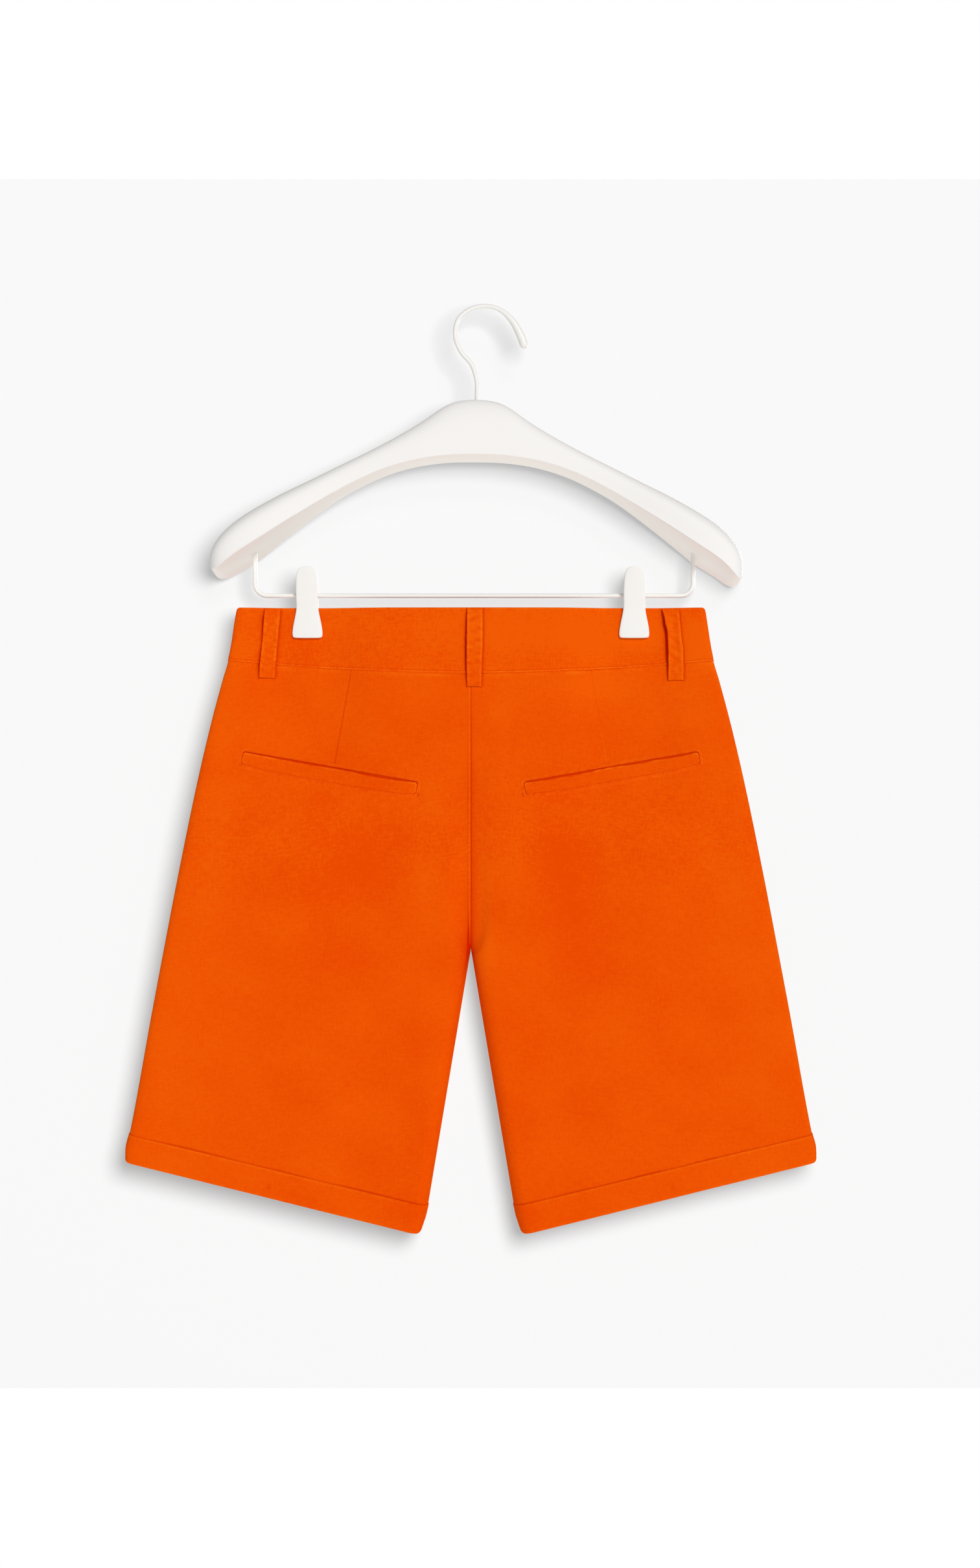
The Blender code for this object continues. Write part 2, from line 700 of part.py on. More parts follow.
def make_zip(shop):
    top = fly_top() - ZIP_BELOW_FLY
    half = ZIP_WIDTH / 2
    rings = []
    for step in range(ZIP_STEPS + 1):
        z = top - ZIP_LENGTH * step / ZIP_STEPS
        inner = min(depth_at(x, z) for x in (0, half)) - CLOTH - SEAM_GAP
        corners = ((-half, 0), (half, 0), (half, 1), (-half, 1))
        ring = [(GARMENT_X + x, GARMENT_Y + inner - ZIP_TAPE * part, z) for x, part in corners]
        rings.append(np.array(ring))
    shop.add_loft("fly_zip_tape", rings, "zip_tape_orange")
    behind = min(ring[:, 1].min() for ring in rings[:3])
    y = behind - SEAM_GAP - SLIDER.thickness / 2
    mesh = bpy.data.meshes.new("fly_zip_slider")
    shaped = bmesh.new()
    bmesh.ops.create_cube(shaped, size=1.0)
    size = (SLIDER.width * MM, SLIDER.thickness * MM, SLIDER.height * MM)
    bmesh.ops.scale(shaped, vec=size, verts=shaped.verts)
    shaped.to_mesh(mesh)
    shaped.free()
    slider = shop.add("fly_zip_slider", mesh, "zip_metal")
    slider.location = (GARMENT_X * MM, y * MM, (top - SLIDER_BELOW_TOP) * MM)
    bevel = slider.modifiers.new("edges", "BEVEL")
    bevel.width = SLIDER.edge * MM
    bevel.segments = 1


# ---- the hanger ----


def arm_middle(reach):
    return ARM_SWEEP * (reach / SWEEP_REACH) ** 2


def make_hanger_body(shop):
    rows = [(-arm.reach, arm) for arm in ARM[:0:-1]] + [(arm.reach, arm) for arm in ARM]
    rings = []
    for along, arm in rows:
        drop = HANGER_LEAN * along
        near = arm_middle(arm.reach) - arm.thickness / 2
        ring = []
        for corner in ARM_SECTION:
            under = arm.front_edge + (arm.back_edge - arm.front_edge) * corner.across
            z = under + (arm.top - under) * corner.up - drop
            ring.append((HANGER_X + along, near + arm.thickness * corner.across, z))
        rings.append(np.array(ring))
    body = shop.add_loft("hanger_body", rings, "hanger_white")
    socket = WIRE_RADIUS + SOCKET_SPARE
    top = ARM[0].top + DRILL_RUN
    shop.cut(body, "stem_socket", socket, STEM_BOTTOM - SOCKET_SPARE, top, STEM_X, 0.0)
    socket = BAR_RADIUS + SOCKET_SPARE
    for name, x in (("left_leg_socket", BAR_LEFT), ("right_leg_socket", BAR_RIGHT)):
        end = leg_top(x)
        shop.cut(body, name, socket, end - BAR_IN_HANGER - DRILL_RUN, end + SOCKET_SPARE, x, GARMENT_Y)


def leg_top(x):
    """The height at which a leg of the bar ends, inside the arm above it."""
    along = x - HANGER_X
    reach = abs(along)
    front = between(ARM, ("reach", reach), "front_edge")
    back = between(ARM, ("reach", reach), "back_edge")
    thickness = between(ARM, ("reach", reach), "thickness")
    share = (GARMENT_Y - arm_middle(reach)) / thickness + 0.5
    return front + (back - front) * share - HANGER_LEAN * along + BAR_IN_HANGER


def smooth_through(points, steps):
    """A Catmull-Rom line through the points, with `steps` stretches between each two."""
    points = np.array(points, float)
    padded = np.concatenate([[2 * points[0] - points[1]], points, [2 * points[-1] - points[-2]]])
    line = []
    for i in range(1, len(padded) - 2):
        a, b, c, d = padded[i - 1:i + 3]
        for t in np.arange(steps) / steps:
            line.append(
                0.5 * (2 * b + (c - a) * t + (2 * a - 5 * b + 4 * c - d) * t**2
                       + (3 * b - a - 3 * c + d) * t**3)
            )
    line.append(points[-1])
    return np.array(line)


def make_hook(shop):
    line = smooth_through([(p.x, 0.0, p.z, p.radius) for p in HOOK], HOOK_STEPS_PER_SPAN)
    points, radii = line[:, :3], line[:, 3]
    end = points[-1]
    onward = (end - points[-2]) / np.linalg.norm(end - points[-2])
    for along, share in HOOK_TIP_SHARES:
        points = np.vstack([points, end + onward * radii[len(line) - 1] * along])
        radii = np.append(radii, line[-1, 3] * share)
    shop.add_wire("hanger_hook", points, radii, "wire_white")


def make_bar(shop):
    path = [(BAR_LEFT, leg_top(BAR_LEFT))]
    for step in range(BEND_STEPS + 1):
        turn = math.radians(90) * step / BEND_STEPS
        x = BAR_LEFT + BAR_BEND * (1 - math.cos(turn))
        path.append((x, BAR_HEIGHT + BAR_BEND * (1 - math.sin(turn))))
    for step in range(BEND_STEPS + 1):
        turn = math.radians(90) * step / BEND_STEPS
        x = BAR_RIGHT - BAR_BEND * (1 - math.sin(turn))
        path.append((x, BAR_HEIGHT + BAR_BEND * (1 - math.cos(turn))))
    path.append((BAR_RIGHT, leg_top(BAR_RIGHT)))
    points = [(x, GARMENT_Y, z) for x, z in path]
    shop.add_wire("hanger_bar", points, [BAR_RADIUS] * len(points), "wire_white")


def jaw_ring(row, centre, face):
    """A jaw's outline at one height: flat inside, rounded at its outer edges."""
    half, inner = row.half_width, row.inner_depth
    outer = inner + row.thickness
    inset = min(CLIP_EDGE, half / 2, row.thickness / 2)
    corners = [
        (-half, inner), (half, inner),
        (half, outer - inset), (half - inset * 0.3, outer - inset * 0.3), (half - inset, outer),
        (0, outer + CLIP_CROWN),
        (inset - half, outer), (inset * 0.3 - half, outer - inset * 0.3), (-half, outer - inset),
    ]
    return np.array([(centre + x, GARMENT_Y + face * d, row.height) for x, d in corners])


def make_clips(shop):
    for side, side_name in ((LEFT, "left"), (RIGHT, "right")):
        centre = GARMENT_X + side * CLIP_X
        for face, face_name in ((BACK, "near"), (FRONT, "far")):
            rings = [jaw_ring(row, centre, face) for row in CLIP]
            shop.add_loft(f"clip_{side_name}_{face_name}_jaw", rings, "clip_white")
        make_sleeve(shop, f"clip_{side_name}_sleeve", centre)


def make_sleeve(shop, name, centre):
    """The clip's sleeve, turned round the bar."""
    bore = BAR_RADIUS + SOCKET_SPARE
    half = SLEEVE_HALF_LENGTH
    profile = ((SLEEVE_RADIUS, half), (SLEEVE_RADIUS, -half), (bore, -half), (bore, half))
    mesh = bpy.data.meshes.new(name)
    mesh.from_pydata(
        [(radius * MM, 0, along * MM) for radius, along in profile],
        [(0, 1), (1, 2), (2, 3), (3, 0)],
        [],
    )
    sleeve = shop.add(name, mesh, "clip_white")
    turn = sleeve.modifiers.new("turned", "SCREW")
    turn.steps = turn.render_steps = ROUND_STEPS
    turn.use_merge_vertices = True
    turn.merge_threshold = 0.00001
    sleeve.location = (centre * MM, GARMENT_Y * MM, BAR_HEIGHT * MM)
    sleeve.rotation_euler = (0, math.radians(90), 0)


def main():
    shop = Shop()
    make_panels(shop)
    make_waistband(shop)
    make_cuffs(shop)
    make_loops(shop)
    make_welts(shop)
    make_fly(shop)
    make_button(shop)
    make_zip(shop)
    make_hanger_body(shop)
    make_hook(shop)
    make_bar(shop)
    make_clips(shop)


main()
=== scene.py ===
"""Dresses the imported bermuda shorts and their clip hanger: cloth, sewing, fittings, paint and studio.

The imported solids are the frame, and each piece made here takes the place of the solid it stands for.
Tables and shape functions are in millimetres, in the frame's axes, and become metres where a mesh is
made. The properties that a user would change are in metres, as Blender shows them.

A place on the cloth is given by `drop` (0 at the waist's edge, 1 at the waistband's seam, 2 at the
cuff's seam, 3 at the hem) and by `spot` (0 to 1 over the rounding at the inner edge, 1 to 2 over the
flat of the sheet, 2 to 3 over the rounding at the side).
"""

import math
from collections import namedtuple

import bmesh
import bpy
import numpy as np
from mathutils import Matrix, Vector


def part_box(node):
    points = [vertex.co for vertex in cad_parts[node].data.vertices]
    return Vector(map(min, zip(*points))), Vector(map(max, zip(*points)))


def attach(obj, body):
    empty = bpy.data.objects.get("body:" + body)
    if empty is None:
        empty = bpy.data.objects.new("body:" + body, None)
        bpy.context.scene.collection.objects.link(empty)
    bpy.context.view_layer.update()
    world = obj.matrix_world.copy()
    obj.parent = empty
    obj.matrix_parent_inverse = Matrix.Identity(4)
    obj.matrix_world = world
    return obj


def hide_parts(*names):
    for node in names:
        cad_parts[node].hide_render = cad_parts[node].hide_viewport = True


bl_info = {
    "name": "Bermuda shorts on a clip hanger",
    "version": (1, 0, 0),
    "blender": (4, 5, 0),
    "location": "View3D > Sidebar > Shorts",
    "description": "Sews, fits and paints the shorts and their hanger, and lights them",
    "category": "Object",
}

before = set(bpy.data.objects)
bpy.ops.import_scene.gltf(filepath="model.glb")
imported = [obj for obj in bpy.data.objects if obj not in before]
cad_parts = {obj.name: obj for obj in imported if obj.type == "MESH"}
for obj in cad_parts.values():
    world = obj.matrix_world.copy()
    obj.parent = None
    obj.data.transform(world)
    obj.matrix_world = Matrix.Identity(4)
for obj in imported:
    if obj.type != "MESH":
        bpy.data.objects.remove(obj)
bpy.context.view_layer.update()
BODY = "root"

MM = 0.001


def table(columns, *rows):
    """Rows that are read by the names of their columns."""
    row = namedtuple("Row", columns)
    return tuple(row(*values) for values in rows)


def soft_lines(*rows):
    """Soft lines beside each other: where the middle of each is, its half width and its rise."""
    return table("middle half_width rise", *rows)


LEFT, RIGHT = -1, 1
BACK, FRONT = -1, 1
SIDES = (("left", LEFT), ("right", RIGHT))
FACES = (("back", BACK), ("front", FRONT))

# ---- the plain form of the cloth ----

GARMENT_X = -13.4
GARMENT_Y = 9.0
CLOTH = 1.2
HALF_GAP = 0.02
TUCK = 0.1  # how far the panels reach in under the waistband
BAND_WALL = 2.6
BAND_PROUD = 0.35
BAND_TALL = 48.0  # the waistband's usual height, which one drop stands for
CUFF_WALL = 2.4
CUFF_PROUD = 0.6
CUFF_TALL = 23.2

OUTLINE = table(
    "height half_width",
    (-240.7, 189.5), (-283.0, 196.4), (-299.0, 201.0), (-331.0, 209.5), (-378.0, 220.5),
    (-457.0, 236.8), (-567.0, 257.9), (-665.5, 276.0), (-678.0, 278.9), (-688.3, 279.1),
)

INSEAM = table(
    "height half_gap",
    (-517.6, HALF_GAP), (-723.8, 34.6), (-734.0, 36.9), (-747.4, 40.6),
)

LINES = table(
    "drop side_height middle_height bow",
    (0.0, -240.7, -240.7, 1.0), (1.0, -283.8, -294.1, 1.7), (1.5, -474.3, -508.6, 1.0),
    (2.0, -665.5, -723.8, 1.0), (3.0, -688.3, -747.4, 1.0),
)

FORMS = table(
    "drop depth edge_depth edge_turn edge_reach side_reach clamp",
    (0.00, 7.5, 7.5, 0, 20, 7, 1.0), (1.00, 8.5, 8.4, 0, 20, 8, 1.0), (1.12, 9.8, 9.3, 0, 22, 9, 0.6),
    (1.30, 12.0, 10.9, 0, 25, 11, 0.1), (1.42, 12.6, 9.6, 0, 25, 12, 0.0),
    (1.48, 12.6, 6.6, 8, 22, 12, 0.0), (1.505, 12.4, 3.6, 24, 18, 12, 0.0),
    (1.521, 12.2, 1.8, 45, 16, 12, 0.0), (1.535, 12.0, HALF_GAP, 90, 14, 12, 0.0),
    (1.60, 11.6, HALF_GAP, 90, 12, 12, 0.0), (2.00, 10.6, HALF_GAP, 90, 11, 11, 0.0),
    (3.00, 10.2, HALF_GAP, 90, 10, 10, 0.0),
)

CLIP_X = 132.2
CLAMPED_DEPTH = 2.25
CLAMP_FLAT = 14.0
CLAMP_FADE = 30.0
ROUND_PULL = 0.55
SIDE_PULL = 0.88  # the cloth lies flat almost to its pressed side seams
HALVINGS = 30
WAIST_CORNER = 2.4
HEM_SIDE_CORNER = 3.0
HEM_INNER_CORNER = 3.4
CORNER_FADE = 12.0  # below a rounded corner the cloth runs straight again

# ---- creases, as swells (a negative rise is a hollow) and as lines; side 0 is on both sides ----

SWELLS = table(
    "side x z half_width half_height rise",
    (0, 82, -433, 34, 46, -1.3),
    (0, 105, -505, 40, 34, -1.1),
    (0, 40, -545, 22, 70, 0.7),
    (0, 150, -470, 26, 90, 0.6),
    (0, 190, -600, 34, 80, -0.8),
    (0, 120, -620, 30, 90, 0.7),
    (0, 132, -345, 26, 30, -0.6),
)

CREASES = table(
    "side face x0 z0 x1 z1 half_width rise",
    (0, 0, 6, -360, 3, -505, 9.0, -0.9),  # the valley down the centre seam
    (0, 0, 12, -430, 22, -530, 8.0, 0.35),
    (0, 0, 8, -520, 20, -585, 7.0, -0.5),
    (0, 0, 30, -500, 95, -478, 9.0, -0.25),
    (0, 0, 26, -520, 88, -516, 8.0, 0.22),
    (LEFT, 0, 112, -364, 119, -381, 4.5, -0.5),
    (LEFT, 0, 109, -364, 103, -381, 4.0, -0.45),
    (RIGHT, 0, 112, -362, 116, -378, 4.5, -0.35),
    (RIGHT, 0, 107, -366, 104, -378, 3.5, -0.25),
    (0, BACK, 118, -300, 131, -352, 10.0, -0.35),
    (0, BACK, 160, -306, 172, -350, 12.0, 0.3),
    (LEFT, BACK, 60, -300, 72, -366, 14.0, 0.3),
    (RIGHT, BACK, 48, -304, 66, -360, 16.0, 0.28),
    (LEFT, 0, 62, -398, 78, -470, 13.0, -0.35),
    (RIGHT, 0, 70, -402, 92, -466, 15.0, -0.3),
    (0, 0, 205, -395, 229, -520, 10.0, 0.3),
    (LEFT, 0, 188, -440, 214, -560, 12.0, -0.28),
    (RIGHT, 0, 180, -452, 206, -540, 11.0, -0.28),
    (LEFT, 0, 70, -560, 96, -700, 14.0, -0.3),
    (RIGHT, 0, 60, -590, 84, -704, 15.0, -0.3),
    (0, 0, 240, -580, 262, -676, 10.0, 0.32),
    (LEFT, BACK, 175, -668, 214, -660, 3.0, -0.16),
    (RIGHT, BACK, 168, -676, 200, -668, 3.0, -0.14),
    (0, 0, 241.4, -648.6, 242.4, -650.4, 1.6, -0.5),  # where the turn-up is tacked inside
    (LEFT, FRONT, 118, -300, 126, -520, 9.0, 0.4),
    (RIGHT, FRONT, 116, -302, 122, -500, 9.0, 0.4),
    (LEFT, FRONT, 44, -330, 60, -420, 12.0, -0.35),
    (RIGHT, FRONT, 50, -322, 72, -410, 11.0, -0.35),
)

# patches of painted light (a positive rise, paler) and painted shade (a negative rise, deeper) over the
# cloth; side 0 is on both sides
LIGHT_AND_SHADE_PATCHES = table(
    "side x z half_width half_height rise",
    (LEFT, 94, -450, 34, 62, -0.42),
    (LEFT, 116, -515, 24, 26, -0.2),
    (RIGHT, 78, -455, 32, 66, -0.4),
    (RIGHT, 106, -520, 24, 28, -0.3),
    (0, 216, -460, 26, 90, 0.2),
    (0, 236, -590, 30, 90, 0.24),
    (LEFT, 150, -340, 34, 30, 0.2),
    (RIGHT, 98, -303, 44, 13, 0.45),
    (RIGHT, 176, -310, 20, 34, 0.3),
    (RIGHT, 22, -326, 15, 12, 0.35),
    (LEFT, 36, -492, 22, 30, 0.15),
    (0, 44, -640, 14, 70, -0.22),
    (0, 40, -728, 26, 16, -0.3),
    (0, 236, -690, 30, 14, 0.3),
    (LEFT, 180, -270, 20, 16, 0.45),
    (LEFT, 202, -330, 14, 60, 0.3),
    (LEFT, 40, -262, 60, 22, 0.25),
    (RIGHT, 30, -258, 60, 24, 0.4),
    (RIGHT, 120, -262, 60, 22, 0.65),
    (RIGHT, 184, -268, 14, 22, 0.6),
    (RIGHT, 11, -480, 8, 50, 0.45),
    (RIGHT, 10, -514, 8, 16, 0.6),
)

# how much painted shade lies beside the centre seam, by height: on its right, fading over the reach, on its
# left, and in the painted shade line 2 mm to its left
SEAM_SHADES = table(
    "height right reach left line",
    (-292, 0.05, 1.2, 0.0, 0.0),
    (-318, 0.14, 1.2, 0.0, 0.0),
    (-352, 0.42, 1.6, 0.0, 0.10),
    (-394, 0.50, 3.2, 0.04, 0.25),
    (-431, 0.55, 2.6, 0.0, 0.08),
    (-468, 0.58, 3.4, 0.02, 0.22),
    (-494, 0.80, 3.2, 0.40, 0.45),
    (-514, 0.88, 3.0, 1.05, 0.80),
    (-526, 0.55, 3.4, 0.85, 0.30),
    (-552, 0.30, 3.5, 0.25, 0.0),
    (-620, 0.08, 3.0, 0.08, 0.0),
    (-724, 0.06, 3.0, 0.06, 0.0),
)

APEX_DROP = 1.52  # the centre seam ends here, where the legs part
SEAM_FOLD_END = -519.0  # and the painted shade line and the painted highlight on the ridge beside it end a little above
SEAM_RIDGE_END = -512.0

WAIST_SEAM = soft_lines((0.0, 0.7, -0.08))
CUFF_SEAM = soft_lines((0.0, 0.9, -0.42))
CENTRE_SEAM = {
    LEFT: soft_lines((0.0, 0.5, -0.26), (1.7, 0.8, 0.16)),
    RIGHT: soft_lines((0.0, 0.5, -0.26)),
}
DART = {  # measured from the dart's line towards the side seam
    LEFT: soft_lines((0.0, 0.42, -0.42), (-1.5, 0.9, 0.14)),
    RIGHT: soft_lines((0.0, 0.42, -0.16), (1.5, 0.9, 0.14)),
}
DART_PULL = soft_lines((0.0, 6.0, -0.18))
DART_TOP = (97.0, -290.6)
DART_END = (110.7, -369.9)
DART_COSINE = 0.985  # of its lean
DART_PALE = soft_lines((0.0, 0.45, -0.55))  # the right dart is painted pale on its lower half
DART_PALE_TOP = -334.0
SIDE_LIGHT_AND_WEAR = soft_lines((0.0, 2.2, -0.4))  # the cloth is paler along its side seams: wear, and painted light where it turns away from the light
WAIST_HIGHLIGHT = soft_lines((1.6, 1.2, -0.25))  # a painted highlight on the panel's edge, down from the waist's seam
SEAT = soft_lines((-425.0, 45.0, 0.7))  # by height: where sitting has raised the slubs
SLUB_TOP, SLUB_RISE = -294.0, 0.8  # above this, on the band and the loops, they stand out too
EDGE_HOLD = 6.0  # how far in from the legs' edges the creases fade out
PUCKER_REACH = 6.0  # how far a seam's puckers run into the cloth
PUCKER_PITCH = 9.0
PUCKER_RISE = 0.09
CENTRE_PUCKERS = 1.6  # the centre seam puckers more than the others
SAG_LENGTH, SAG_RISE = 70.0, 0.16  # the slow unevenness of hanging cloth
GRAIN = math.radians(10)  # the legs' grain leans out by this much

LEG_RUN = 400.0  # about how far a panel runs from the waistband's seam to the cuff's, which is one drop
NEAR_PANEL_SEAM = np.array([0.0, 0.35, 0.7, 1.1, 1.6, 2.3, 3.2]) / LEG_RUN
NEAR_BAND_SEAM = (0.0, 0.15, 0.35, 0.6, 0.9, 1.2, 1.45, 1.7, 1.95, 2.25, 2.8, 3.6, 4.6)
NEAR_CUFF_SEAM = (0.0, 0.15, 0.35, 0.6, 1.0, 1.6, 2.4)
STITCH_DIP = 0.18
STITCH_LINE = 1.75  # the waist's lower stitches, up from the band's seam
TOP_STITCH_LINE = 1.7  # the waist's upper stitches, down from its fold
BAND_LINES = soft_lines(  # up from the band's seam
    (0.0, 0.28, -0.20), (0.85, 0.35, 0.12), (STITCH_LINE, 0.4, -STITCH_DIP),
    (BAND_TALL - TOP_STITCH_LINE, 0.45, -0.7 * STITCH_DIP),
)
BAND_RIM_HIGHLIGHTS = soft_lines((0.85, 0.4, 1.9), (BAND_TALL - 0.5, 1.3, 1.5))  # painted highlights on the band's ridge and along its top fold
CUFF_EDGE = soft_lines((0.0, 0.3, -0.55))  # down from the cuff's seam
# painted highlights on the cuff's top edge and along its fold at the hem
CUFF_HIGHLIGHTS = soft_lines((1.3, 0.7, 0.35), (CUFF_TALL, 1.6, 0.3))
CUFF_TACK = soft_lines((163.0, 0.6, -0.35))  # from the centre: where the turn-up is caught down
CUFF_TACK_ENDS = (8.0, 17.0)
FOLD_SINK = 0.5  # cloth that is drawn in by this much gets all the painted shade its seam gives

# ---- what is sewn on ----

LOOP_COLUMNS = "height left right left_lift right_lift"
LOOPS = {
    "belt_loop_back_centre": (BACK, table(
        LOOP_COLUMNS,
        (-241.4, -3.2, 9.6, 0.3, 0.3),
        (-252.0, -3.3, 9.7, 1.5, 0.9),
        (-272.0, -3.4, 9.5, 1.9, 1.2),
        (-291.0, -3.5, 8.8, 1.4, 0.8),
        (-298.0, -3.4, 8.6, 0.9, 0.5),
        (-304.6, -3.2, 8.5, 0.3, 0.3),
    )),
    "belt_loop_back_left": (BACK, table(
        LOOP_COLUMNS,
        (-241.4, -166.5, -153.9, 0.4, 0.3),
        (-251.0, -167.2, -154.6, 2.0, 0.8),
        (-268.0, -168.7, -156.2, 1.1, 0.9),
        (-284.0, -170.2, -157.5, 1.7, 0.8),
        (-291.0, -170.8, -158.1, 1.3, 0.5),
        (-297.6, -171.2, -158.5, 0.3, 0.3),
    )),
    "belt_loop_back_right": (BACK, table(
        LOOP_COLUMNS,
        (-241.4, 154.6, 168.1, 0.4, 0.3),
        (-253.0, 157.0, 169.1, 2.2, 0.8),
        (-263.4, 158.9, 170.0, 2.4, 1.0),
        (-275.0, 159.2, 171.4, 2.2, 0.9),
        (-289.0, 159.4, 171.8, 1.2, 0.6),
        (-299.4, 159.4, 171.9, 0.3, 0.3),
    )),
    "belt_loop_front_left": (FRONT, table(
        LOOP_COLUMNS,
        (-241.4, -109.4, -96.8, 0.3, 0.4),
        (-262.0, -109.5, -97.0, 1.0, 1.9),
        (-284.0, -110.1, -97.4, 0.9, 1.7),
        (-302.5, -110.4, -97.7, 0.3, 0.3),
    )),
    "belt_loop_front_right": (FRONT, table(
        LOOP_COLUMNS,
        (-241.4, 96.6, 109.2, 0.3, 0.3),
        (-260.0, 97.0, 109.4, 1.7, 0.9),
        (-285.0, 97.5, 110.2, 1.6, 1.0),
        (-302.5, 97.7, 110.4, 0.3, 0.3),
    )),
}
# the cloth's faces are closer together beside the loops: along which drop, at what height, how far to
# either side of an edge, and how many spots
LOOPS_ON_BAND = (0.5, -265.0, 3.0, 13)
LOOPS_ON_PANEL = (1.03, -293.0, 2.4, 7)
LOOP_LAYER = 1.4
LOOP_WAVER = 0.16
LOOP_SHADE_AND_HIGHLIGHTS = {  # painted shade and highlights in from a loop's left and right edges; a negative rise is a painted highlight
    "left": soft_lines((0.0, 0.5, 0.6), (1.5, 0.7, -0.36)),
    "right": soft_lines((1.0, 0.6, -0.5)),
}
LOOP_HEM = soft_lines((5.5, 0.45, -0.28))  # up from a loop's foot
LOOP_CREASE = soft_lines((0.0, 2.2, -0.5))
LOOP_CREASE_HEIGHTS = {"belt_loop_back_left": -268.0, "belt_loop_back_right": -263.0}

WELT_INNER = (43.4, -386.7)
WELT_OUTER = (184.0, -362.0)
WELT_RUN = (WELT_OUTER[0] - WELT_INNER[0], WELT_OUTER[1] - WELT_INNER[1])
WELT_LENGTH = math.hypot(*WELT_RUN)
WELT_HEIGHT = 10.0
WELT_BOW = {LEFT: 2.7, RIGHT: 1.9}  # how much taller the welts are away from their ends
WELT_CORNER = 2.2
WELT_MARGIN = 3.4  # how far the welt's stitched frame reaches past the welt itself
WELT_BED = 1.05  # how far the panel sinks to take the welt
WELT_DIP = soft_lines((-1.25, 0.35, -0.2))  # under the stitches, by distance in from the welt's frame
WELT_HIGHLIGHTS = soft_lines((-0.75, 0.35, 0.5), (-2.2, 0.6, 0.35))  # and the painted highlights there
WELT_LIP = 0.62  # the heights of the window's turned edge, of the strip in it and of the slit's floor
WELT_STRIP = 0.78
WELT_FLOOR = -0.55
WELT_UNDER = -0.12  # the window's cloth, before anything rises or sinks
WELT_STITCHES = 1.25  # out from the frame
STITCH_LIFT = 0.42  # of the pockets' stitches, tacks and rows down the fly, off what they are sewn on
TACK_LIFT = 0.45
FLY_STITCH_LIFT = 0.05

SLIT_COLUMNS = "share opening"  # along the pocket's mouth, from its inner end
SLITS = {
    LEFT: table(
        SLIT_COLUMNS,
        (0.0, 0.2), (0.04, 0.6), (0.08, 1.2), (0.15, 2.1), (0.24, 2.6), (0.33, 1.7), (0.4, 0.9),
        (0.48, 0.9), (0.6, 1.2), (0.7, 1.25), (0.78, 1.1), (0.86, 0.6), (0.94, 0.4), (1.0, 0.15),
    ),
    RIGHT: table(
        SLIT_COLUMNS,
        (0.0, 0.2), (0.06, 0.9), (0.12, 1.5), (0.22, 1.3), (0.3, 1.7), (0.38, 1.0), (0.44, 0.15),
        (0.53, 0.15), (0.6, 1.1), (0.68, 1.5), (0.76, 0.6), (0.8, 1.2), (0.9, 1.5), (0.96, 0.7), (1.0, 0.1),
    ),
}

FLY_EDGE = -2.5
FLY_WIDTH = 36.0
FLY_TOP = -294.1
FLY_STRAIGHT = 118.0
FLY_CURVE = 44.0
FLY_TURN = math.radians(80)
FLY_ROWS = (6.0, 11.5)  # the topstitching: in from the placket's edge
FLY_ROW_RISE = 0.0025  # the foot of a row rises by this share for each millimetre it is further in
BAND_OVERLAP = 16.0
SEAM_GAP = 0.3
LAYER = 1.2

BUTTON_AT = (-5.0, -267.0)
BUTTON_RADIUS = 8.5
BUTTON_DEPTH = 3.2
BUTTON_RIM = 1.7
BUTTON_WALL = 0.9  # how far the dish slopes in, and how deep it is
BUTTON_DISH = (1.2, 0.25)
HOLE_RADIUS = 0.8
HOLES_OFF = 2.0  # from the button's middle
BUTTON_ROWS = (-1.66, -1.16, 1.16, 1.66)  # the heights of the stitches over the holes
BUTTON_STITCH = 3.0
BUTTON_STITCH_OUT = 2.2  # off the cloth
ZIP_WIDTH = 22.0
TAPE_WALL = 0.8
TAPE_CORDS = soft_lines((2.6, 0.9, 0.18))  # from the tape's middle
TOOTH = (2.6, 1.1, 1.0)
TOOTH_OFF = 0.5  # to either side of the tape's middle, in turn
TEETH_BEHIND = 1.5  # the tape's front
ZIP_ENDS = 6.0  # the tape's length without teeth

TACK_WIDTH = 1.6
TACK_HEIGHT = 2.6
TACK_TURN = math.radians(10)
TACKS = ((WELT_INNER[0] - 1.2, WELT_INNER[1] - 5.2), (WELT_OUTER[0] + 1.2, WELT_OUTER[1] - 5.0))

# ---- the hanger ----

HANGER_X = -9.1
HANGER_LEAN = 0.0075
ARM = table(
    "reach top front_edge back_edge thickness",
    (0.0, -72.8, -121.5, -123.1, 26.0), (18.0, -74.6, -121.6, -123.2, 26.0),
    (29.0, -81.0, -122.6, -124.0, 26.0), (39.0, -88.6, -123.7, -125.2, 26.0),
    (50.0, -96.0, -125.4, -127.0, 25.5), (71.0, -108.1, -130.6, -132.6, 25.0),
    (92.0, -118.8, -139.5, -142.2, 25.0), (113.0, -128.7, -150.8, -153.5, 27.0),
    (134.0, -139.4, -164.1, -168.3, 33.0), (155.0, -149.0, -177.1, -183.8, 40.0),
    (176.0, -160.5, -191.2, -201.0, 45.0), (187.0, -167.0, -197.8, -207.5, 46.0),
    (197.0, -174.2, -204.8, -213.4, 45.0), (205.0, -181.5, -210.3, -217.4, 41.0),
    (210.0, -187.8, -213.6, -218.2, 34.0), (213.6, -193.6, -212.6, -215.6, 24.0),
    (215.8, -200.0, -207.0, -208.2, 9.0),
)
RIGHT_ARM = ARM[:-4] + table(
    "reach top front_edge back_edge thickness",
    (205.0, -181.5, -212.0, -219.6, 41.0), (210.0, -187.8, -216.8, -221.4, 34.0),
    (213.6, -193.6, -217.8, -220.6, 24.0), (215.8, -200.0, -212.5, -214.5, 10.0),
)
ARM_SWEEP = 6.0
SWEEP_REACH = 176.0

